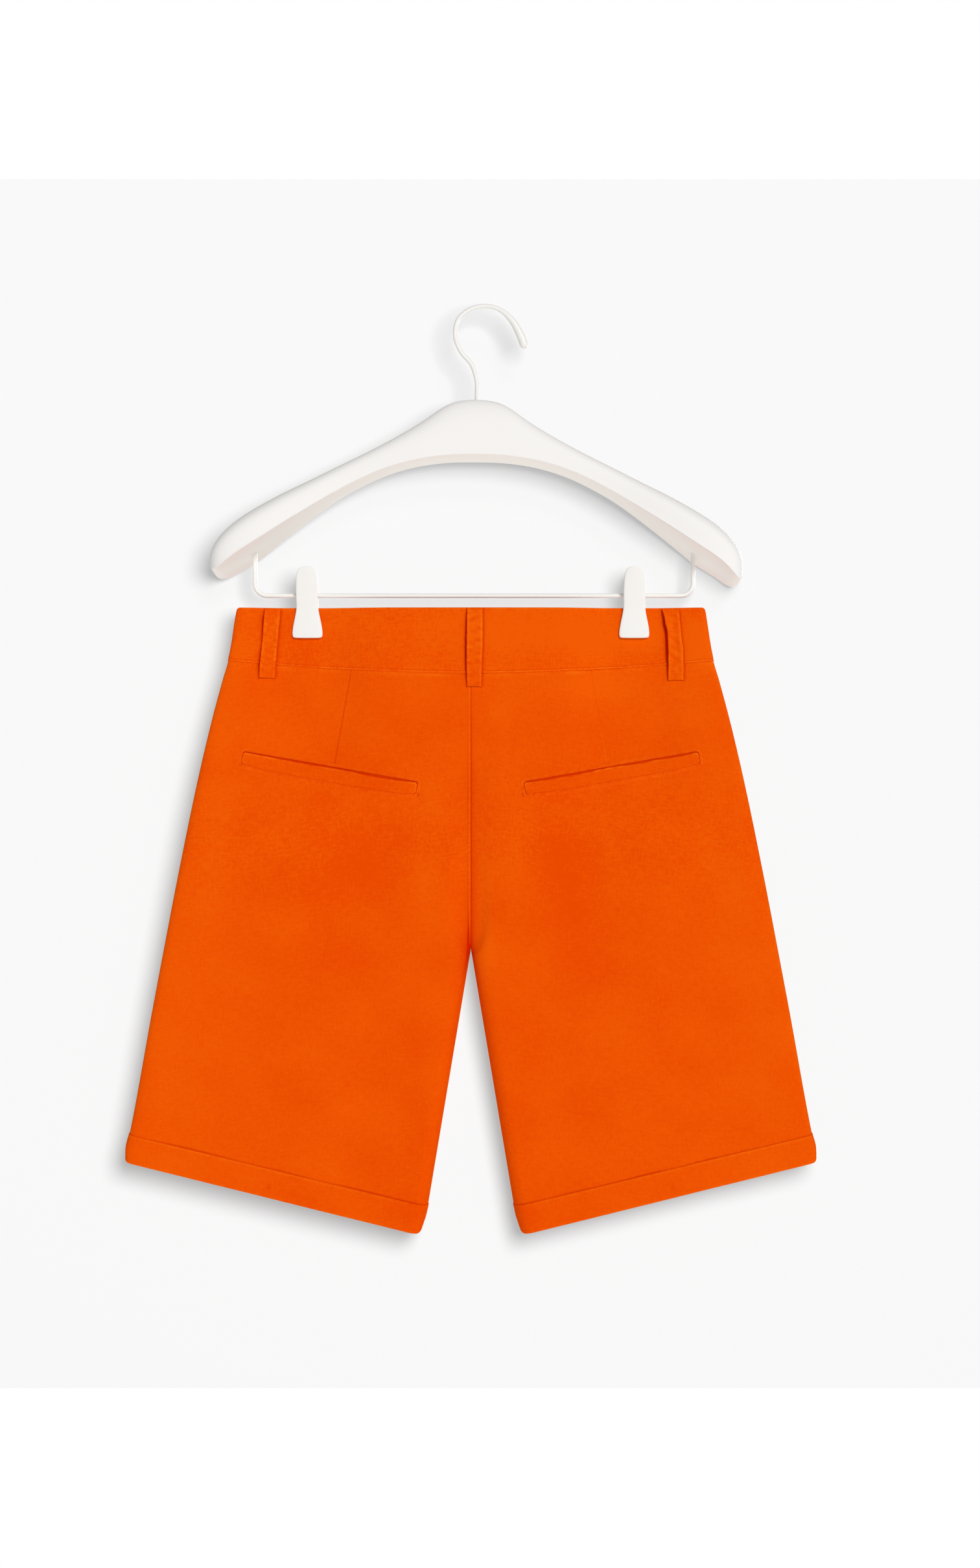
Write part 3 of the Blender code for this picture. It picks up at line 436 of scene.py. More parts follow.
ARM_HALF = ((0.05, 0.00), (0.00, 0.05), (0.00, 0.50), (0.05, 0.74), (0.19, 0.92), (0.38, 0.99))
ARM_SECTION = table("across up", *ARM_HALF, *((1 - across, up) for across, up in ARM_HALF[::-1]))

HOOK = table(
    "x z radius",
    (-8.5, -86.0, 1.75), (-8.5, -72.0, 1.75), (-8.7, -58.5, 1.75), (-12.8, -45.4, 1.75),
    (-21.5, -34.8, 1.75), (-26.0, -21.9, 1.75), (-23.4, -8.9, 1.75), (-13.0, -0.3, 1.75),
    (0.0, 1.75, 1.75), (11.5, -2.1, 1.9), (20.6, -11.0, 2.7), (26.6, -21.9, 3.3), (29.4, -29.0, 3.4),
)
TIP_ROUND = ((0.3, 0.96), (0.6, 0.82), (0.85, 0.56), (0.97, 0.28), (1.0, 0.06))

BAR_RADIUS = 1.85
BAR_HEIGHT = -230.6
BAR_LEFT = -188.6
BAR_RIGHT = 166.9
BAR_BEND = 10.0
BAR_IN_HANGER = 8.0

CLIP = table(
    "height half_width inner_depth thickness",
    (-208.1, 2.8, 10.4, 2.0), (-208.9, 5.3, 10.2, 2.3), (-211.5, 7.6, 9.4, 2.6),
    (-216.0, 8.6, 8.2, 2.9), (-222.0, 8.9, 6.8, 3.2), (-228.0, 9.1, 5.2, 3.4), (-234.0, 9.0, 4.8, 3.3),
    (-240.0, 8.7, 3.5, 3.1), (-246.0, 9.6, 3.05, 3.0), (-252.0, 11.0, 3.05, 2.9),
    (-258.0, 12.1, 3.05, 2.8), (-262.4, 12.4, 3.05, 2.7), (-264.6, 11.8, 3.05, 2.4),
    (-265.3, 10.4, 3.05, 2.0),
)
FAR_JAW_NARROWER = 1.2
FAR_JAW_OUT = 0.8

# ---- the stage, in metres ----

WALL_HEIGHTS = (-0.861, 0.0947)
WALL_WIDTH = 4.0
WALL_LIGHT_OFF = (0.37, 0.32)
WALL_LIGHT_RADIUS = 0.37
CAMERA_X = 0.00209
CAMERA_Z = -0.3834
LENS = 33.917

# ---- what a user would change ----


def colour_property(name, description, default):
    return bpy.props.FloatVectorProperty(
        name=name, description=description, default=default, min=0, max=1, subtype="COLOR",
    )


def length_property(name, description, default, low, high, precision=4):
    return bpy.props.FloatProperty(
        name=name, description=description, default=default, min=low, max=high, precision=precision,
        unit="LENGTH",
    )


def share_property(name, description, default, high=1):
    return bpy.props.FloatProperty(
        name=name, description=description, default=default, min=0, max=high, subtype="FACTOR",
    )


def angle_property(name, description, default, high):
    return bpy.props.FloatProperty(
        name=name, description=description, default=default, min=0, max=high, subtype="ANGLE",
    )


def strength_property(name, description, default, high=20):
    return bpy.props.FloatProperty(name=name, description=description, default=default, min=0, max=high)


class ClothSettings(bpy.types.PropertyGroup):
    """The linen of the shorts."""

    light: colour_property("Linen", "Colour of the cloth's raised threads", (0.86, 0.1015, 0.001))
    deep: colour_property("Linen, deep", "Colour of the cloth between its threads", (0.80, 0.064, 0.0))
    # the colour of the painted shade in the seams, creases, pocket slits and beside the belt loops
    fold: colour_property("Fold", "Colour in the seams, painted as their shade", (0.60, 0.016, 0.0))
    # the colour of the painted highlights on ridges, lips and edges that face the light, and of the wear
    # along the side seams
    highlight_and_wear: colour_property(
        "Highlight and wear", "Colour of painted highlights on ridges, lips and lit edges, and of the side seams' wear", (0.90, 0.150, 0.004),
    )
    thread_pitch: length_property(
        "Thread pitch", "From one thread of the weave to the next", 0.00052, 0.0002, 0.005, precision=5,
    )
    slub: share_property("Slub", "How uneven the threads are", 0.5)
    crease: share_property(
        "Creasing", "Height of the creases, as a share of what they are on the garment", 1.0, high=2,
    )
    rows: bpy.props.IntProperty(
        name="Rows", description="Rows of faces down a back panel", default=190, min=40, max=400,
    )


class SewingSettings(bpy.types.PropertyGroup):
    """The stitches."""

    # the thread is a shade deeper than the cloth, which partly paints the shade of the needle holes along
    # the rows
    thread: colour_property("Thread", "Colour of the sewing thread", (0.68, 0.05, 0.0008))
    pale_thread: colour_property(
        "Pale thread", "Colour of the thread round the pockets and along the waist's edge",
        (0.80, 0.085, 0.0015),
    )
    radius: length_property(
        "Thread radius", "Half the thickness of the sewing thread", 0.00026, 0.0001, 0.001, precision=5,
    )
    waist_pitch: length_property(
        "Waist pitch", "Length of a stitch along the waistband", 0.0024, 0.001, 0.01,
    )
    pocket_pitch: length_property(
        "Pocket pitch", "Length of a stitch round the pockets", 0.0021, 0.001, 0.01,
    )


class FittingSettings(bpy.types.PropertyGroup):
    """The button and the zip."""

    button: colour_property("Button", "Colour of the waist button", (0.60, 0.095, 0.012))
    metal: colour_property("Zip metal", "Colour of the zip's teeth and slider", (0.72, 0.68, 0.60))
    tooth_pitch: length_property(
        "Tooth pitch", "From one tooth of the zip to the next", 0.0024, 0.001, 0.01,
    )


class HangerSettings(bpy.types.PropertyGroup):
    """The hanger's paint."""

    lacquer: colour_property("Lacquer", "Colour of the hanger's body", (0.885, 0.862, 0.835))
    # the underside colour is a painted warmer tint, for the shade and the warm light thrown up under the
    # body
    underside: colour_property(
        "Underside", "Colour of the body's underside, where the lacquer is thinner", (0.89, 0.85, 0.79),
    )
    wire: colour_property("Wire", "Colour of the coated wire", (0.885, 0.865, 0.825))
    clip: colour_property("Clips", "Colour of the clips", (0.88, 0.858, 0.826))


class StudioSettings(bpy.types.PropertyGroup):
    """The wall, the light and the camera."""

    wall_gap: length_property(
        "Wall gap", "How far the wall is behind the hanger's hook", 0.031, 0.02, 1.0, precision=3,
    )
    wall_paint: share_property("Wall paint", "How much of the light on it the wall gives back", 0.05)
    wall_glow: strength_property("Wall glow", "The wall's own light, which its shadows keep", 0.455, high=5)
    wall_light: strength_property(
        "Wall light", "Strength of the light that draws the shadows on the wall", 362.0, high=1000,
    )
    sun: strength_property("Key light", "Strength of the key light", 1.765)
    sky: strength_property("Sky", "Strength of the light from above", 0.05)
    bounce: strength_property("Bounce", "Strength of the light from below", 1.16)
    softness: angle_property("Softness", "How wide the key light is", math.radians(16), high=math.pi)
    swing: angle_property(
        "Swing", "How far to the right of the front the key light is", math.radians(23), high=math.pi / 2,
    )
    rise: angle_property(
        "Rise", "How far above the front the key light is", math.radians(32), high=math.pi / 2,
    )
    distance: length_property(
        "Camera distance", "From the middle of the cloth to the camera", 1.2, 0.3, 10, precision=2,
    )


SETTINGS = {
    "shorts_cloth": ClothSettings,
    "shorts_sewing": SewingSettings,
    "shorts_fittings": FittingSettings,
    "shorts_hanger": HangerSettings,
    "shorts_studio": StudioSettings,
}


def setting(group, name):
    return getattr(getattr(bpy.context.scene, group), name)


# ---- reading the tables ----


def columns(rows, name):
    """A table's first column and a named one, in the order of the first."""
    return np.array(sorted((row[0], getattr(row, name)) for row in rows), float).T


def straight(rows, name, at):
    """A named column of a table where its first is `at`, on straight lines between its rows."""
    return np.interp(at, *columns(rows, name))


def eased(rows, name, at):
    """A named column where the first is `at`, on a smooth curve that never overshoots the rows."""
    keys, values = columns(rows, name)
    step = np.diff(keys)
    slope = np.diff(values) / step
    product = slope[1:] * slope[:-1]
    total = slope[1:] + slope[:-1]
    inner = np.where(product > 0, 2 * product / np.where(total == 0, 1, total), 0)
    tangent = np.concatenate([slope[:1], inner, slope[-1:]])
    at = np.clip(at, keys[0], keys[-1])
    i = np.clip(np.searchsorted(keys, at, side="right") - 1, 0, len(step) - 1)
    t = (at - keys[i]) / step[i]
    return (
        values[i] * (1 + 2 * t) * (1 - t) ** 2
        + values[i + 1] * t**2 * (3 - 2 * t)
        + step[i] * (tangent[i] * t * (1 - t) ** 2 - tangent[i + 1] * t**2 * (1 - t))
    )


def soft_step(value):
    """0 below 0, 1 above 1, and a smooth rise between."""
    t = np.clip(value, 0, 1)
    return t * t * (3 - 2 * t)


def bell(off):
    """1 at the middle of a soft line and a smooth fall beside it, by distance in half widths."""
    return np.exp(-(off**2))


def rise_of(lines, off):
    """How high soft lines stand at a distance from where their middles are measured."""
    return sum(line.rise * bell((off - line.middle) / line.half_width) for line in lines)


def patches(rows, x, z):
    """What soft round patches add up to, by distance from the centre and height."""
    total = 0.0
    for row in rows:
        across = x * row.side if row.side else np.abs(x)
        dx, dz = (across - row.x) / row.half_width, (z - row.z) / row.half_height
        total = total + row.rise * np.exp(-(dx**2) - dz**2)
    return total


def ripple(x, z, length, seed):
    """Uneven waves of about one wavelength, from -1 to 1, the same on every run."""
    dice = np.random.default_rng(seed)
    total = 0.0
    for _ in range(9):
        turn = dice.uniform(0, math.pi)
        pitch = length * dice.uniform(0.7, 1.6)
        total = total + np.sin(
            2 * math.pi * (x * math.cos(turn) + z * math.sin(turn)) / pitch + dice.uniform(0, 6.28)
        )
    return total / 4.5


# ---- the form of the cloth ----


def inner_x(drop):
    return straight(INSEAM, "half_gap", straight(LINES, "middle_height", drop))


def width(drop):
    side = straight(LINES, "side_height", drop)
    return eased(OUTLINE, "half_width", side) - inner_x(drop)


def height(drop, across):
    side = straight(LINES, "side_height", drop)
    middle = straight(LINES, "middle_height", drop)
    bow = straight(LINES, "bow", drop)
    return middle + (side - middle) * np.clip(across / width(drop), 0, 1) ** bow


def corner_rise(from_end, radius):
    off = np.clip(radius - from_end, 0, radius)
    return radius - np.sqrt(radius**2 - off**2)


def bezier(start, start_handle, end_handle, end, t):
    return (
        (1 - t) ** 3 * start + 3 * t * (1 - t) ** 2 * start_handle
        + 3 * t**2 * (1 - t) * end_handle + t**3 * end
    )


def section(drop, spot):
    """Where the cloth is at each drop and spot: how far across, and how far off the middle plane."""
    drop, spot = np.broadcast_arrays(drop, spot)
    wide = width(drop)
    reach = eased(FORMS, "edge_reach", drop)
    side_reach = eased(FORMS, "side_reach", drop)
    edge_depth = eased(FORMS, "edge_depth", drop)
    flat = eased(FORMS, "depth", drop)
    turn = np.radians(eased(FORMS, "edge_turn", drop))
    pull = ROUND_PULL * (reach * np.cos(turn) + (flat - edge_depth) * np.sin(turn))
    t, u, s = np.clip(spot, 0, 1), np.clip(spot - 1, 0, 1), np.clip(spot - 2, 0, 1)
    start = wide - side_reach
    across = np.select(
        [spot < 1, spot < 2],
        [
            bezier(0, pull * np.cos(turn), reach * (1 - ROUND_PULL), reach, t),
            reach + (start - reach) * u,
        ],
        bezier(start, start + side_reach * SIDE_PULL, wide, wide, s),
    )
    depth = np.select(
        [spot < 1, spot < 2],
        [bezier(edge_depth, edge_depth + pull * np.sin(turn), flat, flat, t), flat],
        bezier(flat, flat, HALF_GAP + SIDE_PULL * (flat - HALF_GAP), HALF_GAP, s),
    )
    x = inner_x(drop) + across
    off = np.maximum(np.abs(x - CLIP_X) - CLAMP_FLAT, 0)
    clamp = eased(FORMS, "clamp", drop) * bell(off / CLAMP_FADE)
    rise = patches(SWELLS, x, height(drop, across))
    return across, depth * (1 - clamp + clamp * CLAMPED_DEPTH / flat) + rise * depth / flat


def places(drop, spot):
    """How far across the sheet, from the centre and up the cloth is at each drop and spot."""
    across, _ = section(drop, spot)
    return across, inner_x(drop) + across, height(drop, across)


def spots_across(drop, across):
    """The spots at distances across the sheet, its rounded edges too, along one drop."""
    spots = np.linspace(0, 3, 1201)
    reached, _ = section(np.full_like(spots, drop)[None], spots[None])
    return np.interp(across, reached[0], spots)


def spot_of(drop, across):
    """The spot on the flat of a sheet that is so far across."""
    reach = eased(FORMS, "edge_reach", drop)
    end = width(drop) - eased(FORMS, "side_reach", drop)
    return 1 + (across - reach) / (end - reach)


def in_frame(x, off, z):
    """Places as x, y and z, by distance from the centre, off the middle plane and up."""
    return np.stack(np.broadcast_arrays(GARMENT_X + x, GARMENT_Y + off, z), axis=-1)


def sheet_points(side, face, drop, spot, lift):
    """Places on a sheet, pushed out by `lift`, as an array whose last axis is x, y and z."""
    drop, spot = np.broadcast_arrays(drop, spot)
    across, depth = section(drop, spot)
    run, climb = np.gradient(across, axis=1), np.gradient(depth, axis=1)
    length = np.hypot(run, climb)
    z = height(drop, across)
    from_waist = drop * BAND_TALL
    from_hem = (3 - drop) * CUFF_TALL
    to_side = width(drop) - across
    z = z - corner_rise(to_side, WAIST_CORNER) * np.clip(1 - from_waist / CORNER_FADE, 0, 1)
    hem = corner_rise(across, HEM_INNER_CORNER) + corner_rise(to_side, HEM_SIDE_CORNER)
    z = z + hem * np.clip(1 - from_hem / CORNER_FADE, 0, 1)
    x = inner_x(drop) + across - lift * climb / length
    return in_frame(side * x, face * (depth + lift * run / length), z)


def drop_at(x, z):
    low, high = np.zeros_like(z), np.full_like(z, 3.0)
    for _ in range(HALVINGS):
        drop = (low + high) / 2
        above = height(drop, np.abs(x) - inner_x(drop)) > z
        low, high = np.where(above, drop, low), np.where(above, high, drop)
    return drop


def depth_over(x, z):
    """How far the cloth's outer face is from the middle plane, by distance from the centre and height."""
    x, z = np.broadcast_arrays(np.asarray(x, float), np.asarray(z, float))
    drop = drop_at(x, z).ravel()
    spots = np.linspace(0, 3, 121)
    across, depth = section(drop[:, None], spots[None])
    at = np.abs(x).ravel() - inner_x(drop)
    found = [np.interp(a, line, off) for a, line, off in zip(at, across, depth)]
    proud = BAND_PROUD * soft_step((1.01 - drop) / 0.02)
    return (np.array(found) + proud).reshape(x.shape)


def on_cloth(face, x, z, lift):
    """Places over the cloth, by signed distance from the centre and height."""
    return in_frame(x, face * (depth_over(x, z) + lift), z)


# ---- creases and seams ----


def crease_rise(side, face, x, z):
    """The height of the creases that are listed, and of the cloth's slow unevenness."""
    rise = SAG_RISE * ripple(x * side, z, SAG_LENGTH, 11 + face)
    for crease in CREASES:
        if crease.side in (0, side) and crease.face in (0, face):
            run = np.array([crease.x1 - crease.x0, crease.z1 - crease.z0])
            length = np.hypot(*run)
            share = ((x - crease.x0) * run[0] + (z - crease.z0) * run[1]) / length**2
            off = ((x - crease.x0) * run[1] - (z - crease.z0) * run[0]) / length
            beyond = np.maximum(np.abs(share - 0.5) - 0.5, 0) * length / crease.half_width
            fade = 0.35 + 0.65 * np.sin(math.pi * np.clip(share, 0.08, 0.92))
            rise = rise + crease.rise * fade * np.exp(-((off / crease.half_width) ** 2) - beyond**2)
    return rise * setting("shorts_cloth", "crease")


def loop_edge(rows, name, z):
    """How far across one edge of a belt loop is, with the wavering of washed cloth."""
    seed = int(abs(rows[0].left)) + (name == "right")
    return eased(rows, name, z) + LOOP_WAVER * ripple(z, 0 * z, 7.0, seed)


def loop_shadows(face, x, z):
    """How much painted shadow lies beside the belt loops, where they stand off the cloth."""
    depth = 0.0
    for at_face, rows in LOOPS.values():
        if at_face == face:
            inside = soft_step((rows[0].height + 1 - z) / 2) * soft_step((z - rows[-1].height + 1.4) / 1.4)
            left = x - loop_edge(rows, "left", z)
            right = x - loop_edge(rows, "right", z)
            lift = eased(rows, "left_lift", z)
            depth = depth + inside * (
                (0.4 + 0.45 * lift) * bell(left / (0.8 + 0.5 * lift)) + 0.55 * bell(right / 1.5)
            )
    return depth


def puckers(distance, x, z, seed):
    fade = np.exp(-np.maximum(distance, 0) / PUCKER_REACH)
    return PUCKER_RISE * fade * ripple(x, z, PUCKER_PITCH, seed)


def welt_place(x, z):
    """Along a pocket's mouth from its inner end, as a share, and down from its mouth's line."""
    x, z = x - WELT_INNER[0], z - WELT_INNER[1]
    along = (x * WELT_RUN[0] + z * WELT_RUN[1]) / WELT_LENGTH
    up = (z * WELT_RUN[0] - x * WELT_RUN[1]) / WELT_LENGTH
    return along / WELT_LENGTH, WELT_HEIGHT / 2 - up


def welt_point(share, down):
    """From the centre and up, for a place that is so far along a pocket's mouth and down from it."""
    up = WELT_HEIGHT / 2 - down
    x = WELT_INNER[0] + WELT_RUN[0] * share - WELT_RUN[1] / WELT_LENGTH * up
    return x, WELT_INNER[1] + WELT_RUN[1] * share + WELT_RUN[0] / WELT_LENGTH * up


def welt_tall(side, share):
    return WELT_HEIGHT + WELT_BOW[side] * (1 - (2 * np.clip(share, 0, 1) - 1) ** 4)


def from_welt_end(share):
    return np.minimum(share, 1 - share) * WELT_LENGTH


def welt_inside(side, share, down):
    """Distance inside the welt's rounded frame, negative outside it."""
    dx = WELT_CORNER - from_welt_end(share)
    dz = WELT_CORNER - np.minimum(down, welt_tall(side, share) - down)
    return WELT_CORNER - np.hypot(np.maximum(dx, 0), np.maximum(dz, 0)) - np.minimum(np.maximum(dx, dz), 0)


def dart_x(z):
    return np.interp(z, [DART_END[1], DART_TOP[1]], [DART_END[0], DART_TOP[0]])


def along_dart(z):
    """1 along the dart, and 0 below its end."""
    return soft_step((z - DART_END[1] + 1) / 3)


def panel_relief(side, face, x, z, from_inner, from_waist, from_cuff, drop):
    """(soft, sharp): the creases of a panel, and what its seams draw in."""
    seed = 40 + 3 * side + face
    seamed = drop < APEX_DROP
    uneven = np.clip(0.62 + 0.6 * ripple(x, 0 * x, 46.0, seed + 30), 0.15, 1.25)
    soft = crease_rise(side, face, x, z)
    soft = soft + puckers(from_waist, x, z, seed) + puckers(from_cuff, x, z, seed + 10)
    soft = soft + np.where(seamed, CENTRE_PUCKERS * puckers(from_inner, x, z, seed + 20), 0)
    sharp = rise_of(WAIST_SEAM, from_waist) + rise_of(CUFF_SEAM, from_cuff) * uneven
    sharp = sharp + np.where(seamed, rise_of(CENTRE_SEAM[side], from_inner), 0)
    if face == BACK:
        from_dart = (x - dart_x(z)) * DART_COSINE
        sharp = sharp + along_dart(z) * rise_of(DART[side], from_dart)
        soft = soft + along_dart(z) * rise_of(DART_PULL, from_dart)
        inside = welt_inside(side, *welt_place(x, z))
        soft = soft - WELT_BED * soft_step((inside + 2.2) / 2.4)
    return soft, sharp


def centre_seam_painted_shading(side, across, z):
    """The painted shade beside the centre seam and at the legs' inner edges, and the painted highlight on
    the ridge to its left.
    """
    if side == RIGHT:
        depth = eased(SEAM_SHADES, "right", z)
        line = np.minimum(1.4 * depth, 0.75) * bell(across / 0.55) * (z > SEAM_FOLD_END)
        return depth * np.exp(-across / eased(SEAM_SHADES, "reach", z)) + line * (1 - depth)
    line = eased(SEAM_SHADES, "line", z) * bell((across - 2.0) / 0.8)
    ridge = -0.4 * bell((across - 0.8) / 0.5) * (z > SEAM_RIDGE_END)
    return eased(SEAM_SHADES, "left", z) * np.exp(-across / 5.0) + line + ridge


def tone_and_painted_shading(points):
    """How much paler or deeper than usual the cloth is at points on the garment: a slow random tone, and
    the patches of painted light and shade.
    """
    x, z = points[:, 0] - GARMENT_X, points[:, 2]
    return 0.12 * ripple(x, z, 52.0, 7) + patches(LIGHT_AND_SHADE_PATCHES, x, z)


def seam_painted_shade(sharp):
    """How much painted shade lies where a seam draws the cloth in, from 0 to 1."""
    return np.clip(-sharp / FOLD_SINK, 0, 1)


# ---- making meshes ----


def deselect():
    if bpy.context.object and bpy.context.object.mode != "OBJECT":
        bpy.ops.object.mode_set(mode="OBJECT")
    bpy.ops.object.select_all(action="DESELECT")


def only(piece):
    """Makes a piece the only one that operators act on."""
    deselect()
    piece.select_set(True)
    bpy.context.view_layer.objects.active = piece


def settle():
    """Puts the active piece's place, turn and size into its mesh."""
    bpy.ops.object.transform_apply(location=True, rotation=True, scale=True)


def new_piece(name):
    """The object that an operator has just added, with its name."""
    piece = bpy.context.object
    piece.name = piece.data.name = name
    return piece


def shade(piece, angle, material):
    """Shades a piece smooth up to an angle between its faces, and gives it its material."""
    bpy.ops.object.shade_smooth_by_angle(angle=math.radians(angle))
    piece.data.materials.append(material)


def mesh_piece(name, points, faces, material, woven=None, fold=None, sharp=50):
    """A piece from points in millimetres. `woven` is each point's place in the weave, in metres."""
    mesh = bpy.data.meshes.new(name)
    mesh.from_pydata((np.asarray(points) * MM).tolist(), [], faces)
    shaped = bmesh.new()
    shaped.from_mesh(mesh)
    bmesh.ops.recalc_face_normals(shaped, faces=shaped.faces)
    shaped.to_mesh(mesh)
    shaped.free()
    corner = np.zeros(len(mesh.loops), int)
    mesh.loops.foreach_get("vertex_index", corner)
    if woven is not None:
        layer = mesh.uv_layers.new(name="Weave")
        layer.data.foreach_set("uv", np.asarray(woven, np.float32)[corner].ravel())
        points = np.asarray(points)
        z = points[:, 2]
        wear = rise_of(SEAT, z) + SLUB_RISE * soft_step((z - SLUB_TOP) / 4)
        # each point's random tone with its painted light and shade, and how much its slubs stand out
        for label, values in (("Tone", tone_and_painted_shading(points)), ("Wear", wear)):
            mesh.attributes.new(label, "FLOAT", "POINT").data.foreach_set("value", np.float32(values))
    # painted shade where positive, painted highlights where negative
    if fold is not None:
        mesh.attributes.new("Fold", "FLOAT", "POINT").data.foreach_set("value", np.float32(fold))
    mesh.shade_smooth()
    mesh.set_sharp_from_angle(angle=math.radians(sharp))
    piece = bpy.data.objects.new(name, mesh)
    bpy.context.scene.collection.objects.link(piece)
    mesh.materials.append(material)
    return piece


def cells(grid):
    """The four corners of each cell of a grid of points' numbers."""
    corners = [grid[:-1, :-1], grid[:-1, 1:], grid[1:, 1:], grid[1:, :-1]]
    return np.stack(corners, axis=-1).reshape(-1, 4)


def wall_faces(high, wide):
    """Faces of a closed wall between two grids, the outer one's points before the inner one's."""
    count = high * wide
    grid = np.arange(count).reshape(high, wide)
    outer = cells(grid)
    inner = outer[:, ::-1] + count
    rim = np.concatenate([grid[0], grid[1:, -1], grid[-1, -2::-1], grid[-2:0:-1, 0]])
    after = np.roll(rim, -1)
    edge = np.stack([rim, rim + count, after + count, after], axis=-1)
    return np.concatenate([outer, inner, edge]).tolist()


def tube_faces(levels, wide):
    """Faces of a closed ring of levels that runs across a grid, with a cap on each end."""
    grid = np.arange(levels * wide).reshape(levels, wide)
    around = cells(np.vstack([grid, grid[:1]])).tolist()
    return [*around, grid[:, 0].tolist(), grid[::-1, -1].tolist()]


def weave_place(points, turn=0.0, shift=0.0):
    """Places along and across the weave, in metres, for cloth whose grain is turned by `turn`."""
    x, z = points[:, 0] * MM, points[:, 2] * MM
    return np.column_stack(
        [x * math.cos(turn) - z * math.sin(turn) + shift, x * math.sin(turn) + z * math.cos(turn)]
    )


def dress(piece, nodes):
    """The piece stands for its CAD nodes, which are hidden, and is hung on the body."""
    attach(piece, BODY)
    if nodes:
        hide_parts(*nodes)


def merge_doubles(piece):
    only(piece)
    bpy.ops.object.mode_set(mode="EDIT")
    bpy.ops.mesh.select_all(action="SELECT")
    bpy.ops.mesh.remove_doubles(threshold=0.01 * MM)
    bpy.ops.mesh.normals_make_consistent(inside=False)
    bpy.ops.object.mode_set(mode="OBJECT")


def apply_all(piece):
    only(piece)
    for modifier in list(piece.modifiers):
        bpy.ops.object.modifier_apply(modifier=modifier.name)


def select_facing(piece, up):
    """Goes into edit mode and selects the faces that look straight up (1) or down (-1)."""
    bpy.ops.object.mode_set(mode="EDIT")
    bpy.ops.mesh.select_all(action="DESELECT")
    bpy.ops.mesh.select_mode(type="FACE")
    shaped = bmesh.from_edit_mesh(piece.data)
    for face in shaped.faces:
        face.select = face.normal.z * up > 0.9
    shaped.select_flush(True)
    bmesh.update_edit_mesh(piece.data)


def round_edges(piece, width, segments, angle=30):
    """Bevels the edges that are sharper than an angle, `width` in millimetres."""
    edges = piece.modifiers.new("edges", "BEVEL")
    edges.width, edges.segments = width * MM, segments
    edges.limit_method, edges.angle_limit = "ANGLE", math.radians(angle)
    apply_all(piece)


def as_model(piece):
    """A piece's points and faces. The piece itself is removed."""
    points = np.array([vertex.co for vertex in piece.data.vertices])
    faces = [tuple(face.vertices) for face in piece.data.polygons]
    bpy.data.objects.remove(piece)
    return points, faces


def copies(name, placed, faces, material, sharp):
    """One piece made of copies of a model, each with its own points, in millimetres."""
    count = len(placed[0])
    all_faces = [tuple(i + n * count for i in face) for n in range(len(placed)) for face in faces]
    return mesh_piece(name, np.concatenate(placed), all_faces, material, sharp=sharp)


def extruded(name, rings, material):
    """A form drawn out ring by ring from a filled circle, then rounded by subdivision."""
    deselect()
    bpy.ops.mesh.primitive_circle_add(vertices=len(rings[0]), fill_type="NGON")
    piece = new_piece(name)
    bpy.ops.object.mode_set(mode="EDIT")
    for ring in rings[1:]:
        bpy.ops.mesh.extrude_region_move(TRANSFORM_OT_translate={"value": (0, 0, 1)})
    bpy.ops.object.mode_set(mode="OBJECT")
    points = np.concatenate([np.asarray(ring, float) for ring in rings]) * MM
    piece.data.vertices.foreach_set("co", points.ravel())
    piece.data.update()
    merge_doubles(piece)
    rounding = piece.modifiers.new("rounding", "SUBSURF")
    rounding.levels = rounding.render_levels = 2
    apply_all(piece)
    shade(piece, 40, material)
    return piece


def wire(name, points, radii, material):
    """A round wire along points in millimetres, made a closed mesh."""
    curve = bpy.data.curves.new(name, "CURVE")
    curve.dimensions = "3D"
    curve.bevel_depth = MM
    curve.bevel_resolution = 5
    curve.use_fill_caps = True
    spline = curve.splines.new("POLY")
    spline.points.add(len(points) - 1)
    for target, point, radius in zip(spline.points, points, radii):
        target.co = (point[0] * MM, point[1] * MM, point[2] * MM, 1.0)
        target.radius = radius
    piece = bpy.data.objects.new(name, curve)
    bpy.context.scene.collection.objects.link(piece)
    only(piece)
    bpy.ops.object.convert(target="MESH")
    merge_doubles(piece)
    shade(piece, 50, material)
    return piece


def smooth_through(points, steps):
    """A smooth line through the points, with `steps` stretches between each two."""
    points = np.array(points, float)
    padded = np.concatenate([[2 * points[0] - points[1]], points, [2 * points[-1] - points[-2]]])
    line = []
    for i in range(1, len(padded) - 2):
        a, b, c, d = padded[i - 1:i + 3]
        for t in np.arange(steps) / steps:
            line.append(
                0.5 * (2 * b + (c - a) * t + (2 * a - 5 * b + 4 * c - d) * t**2
                       + (3 * b - a - 3 * c + d) * t**3)
            )
    line.append(points[-1])
    return np.array(line)


# ---- finishes ----


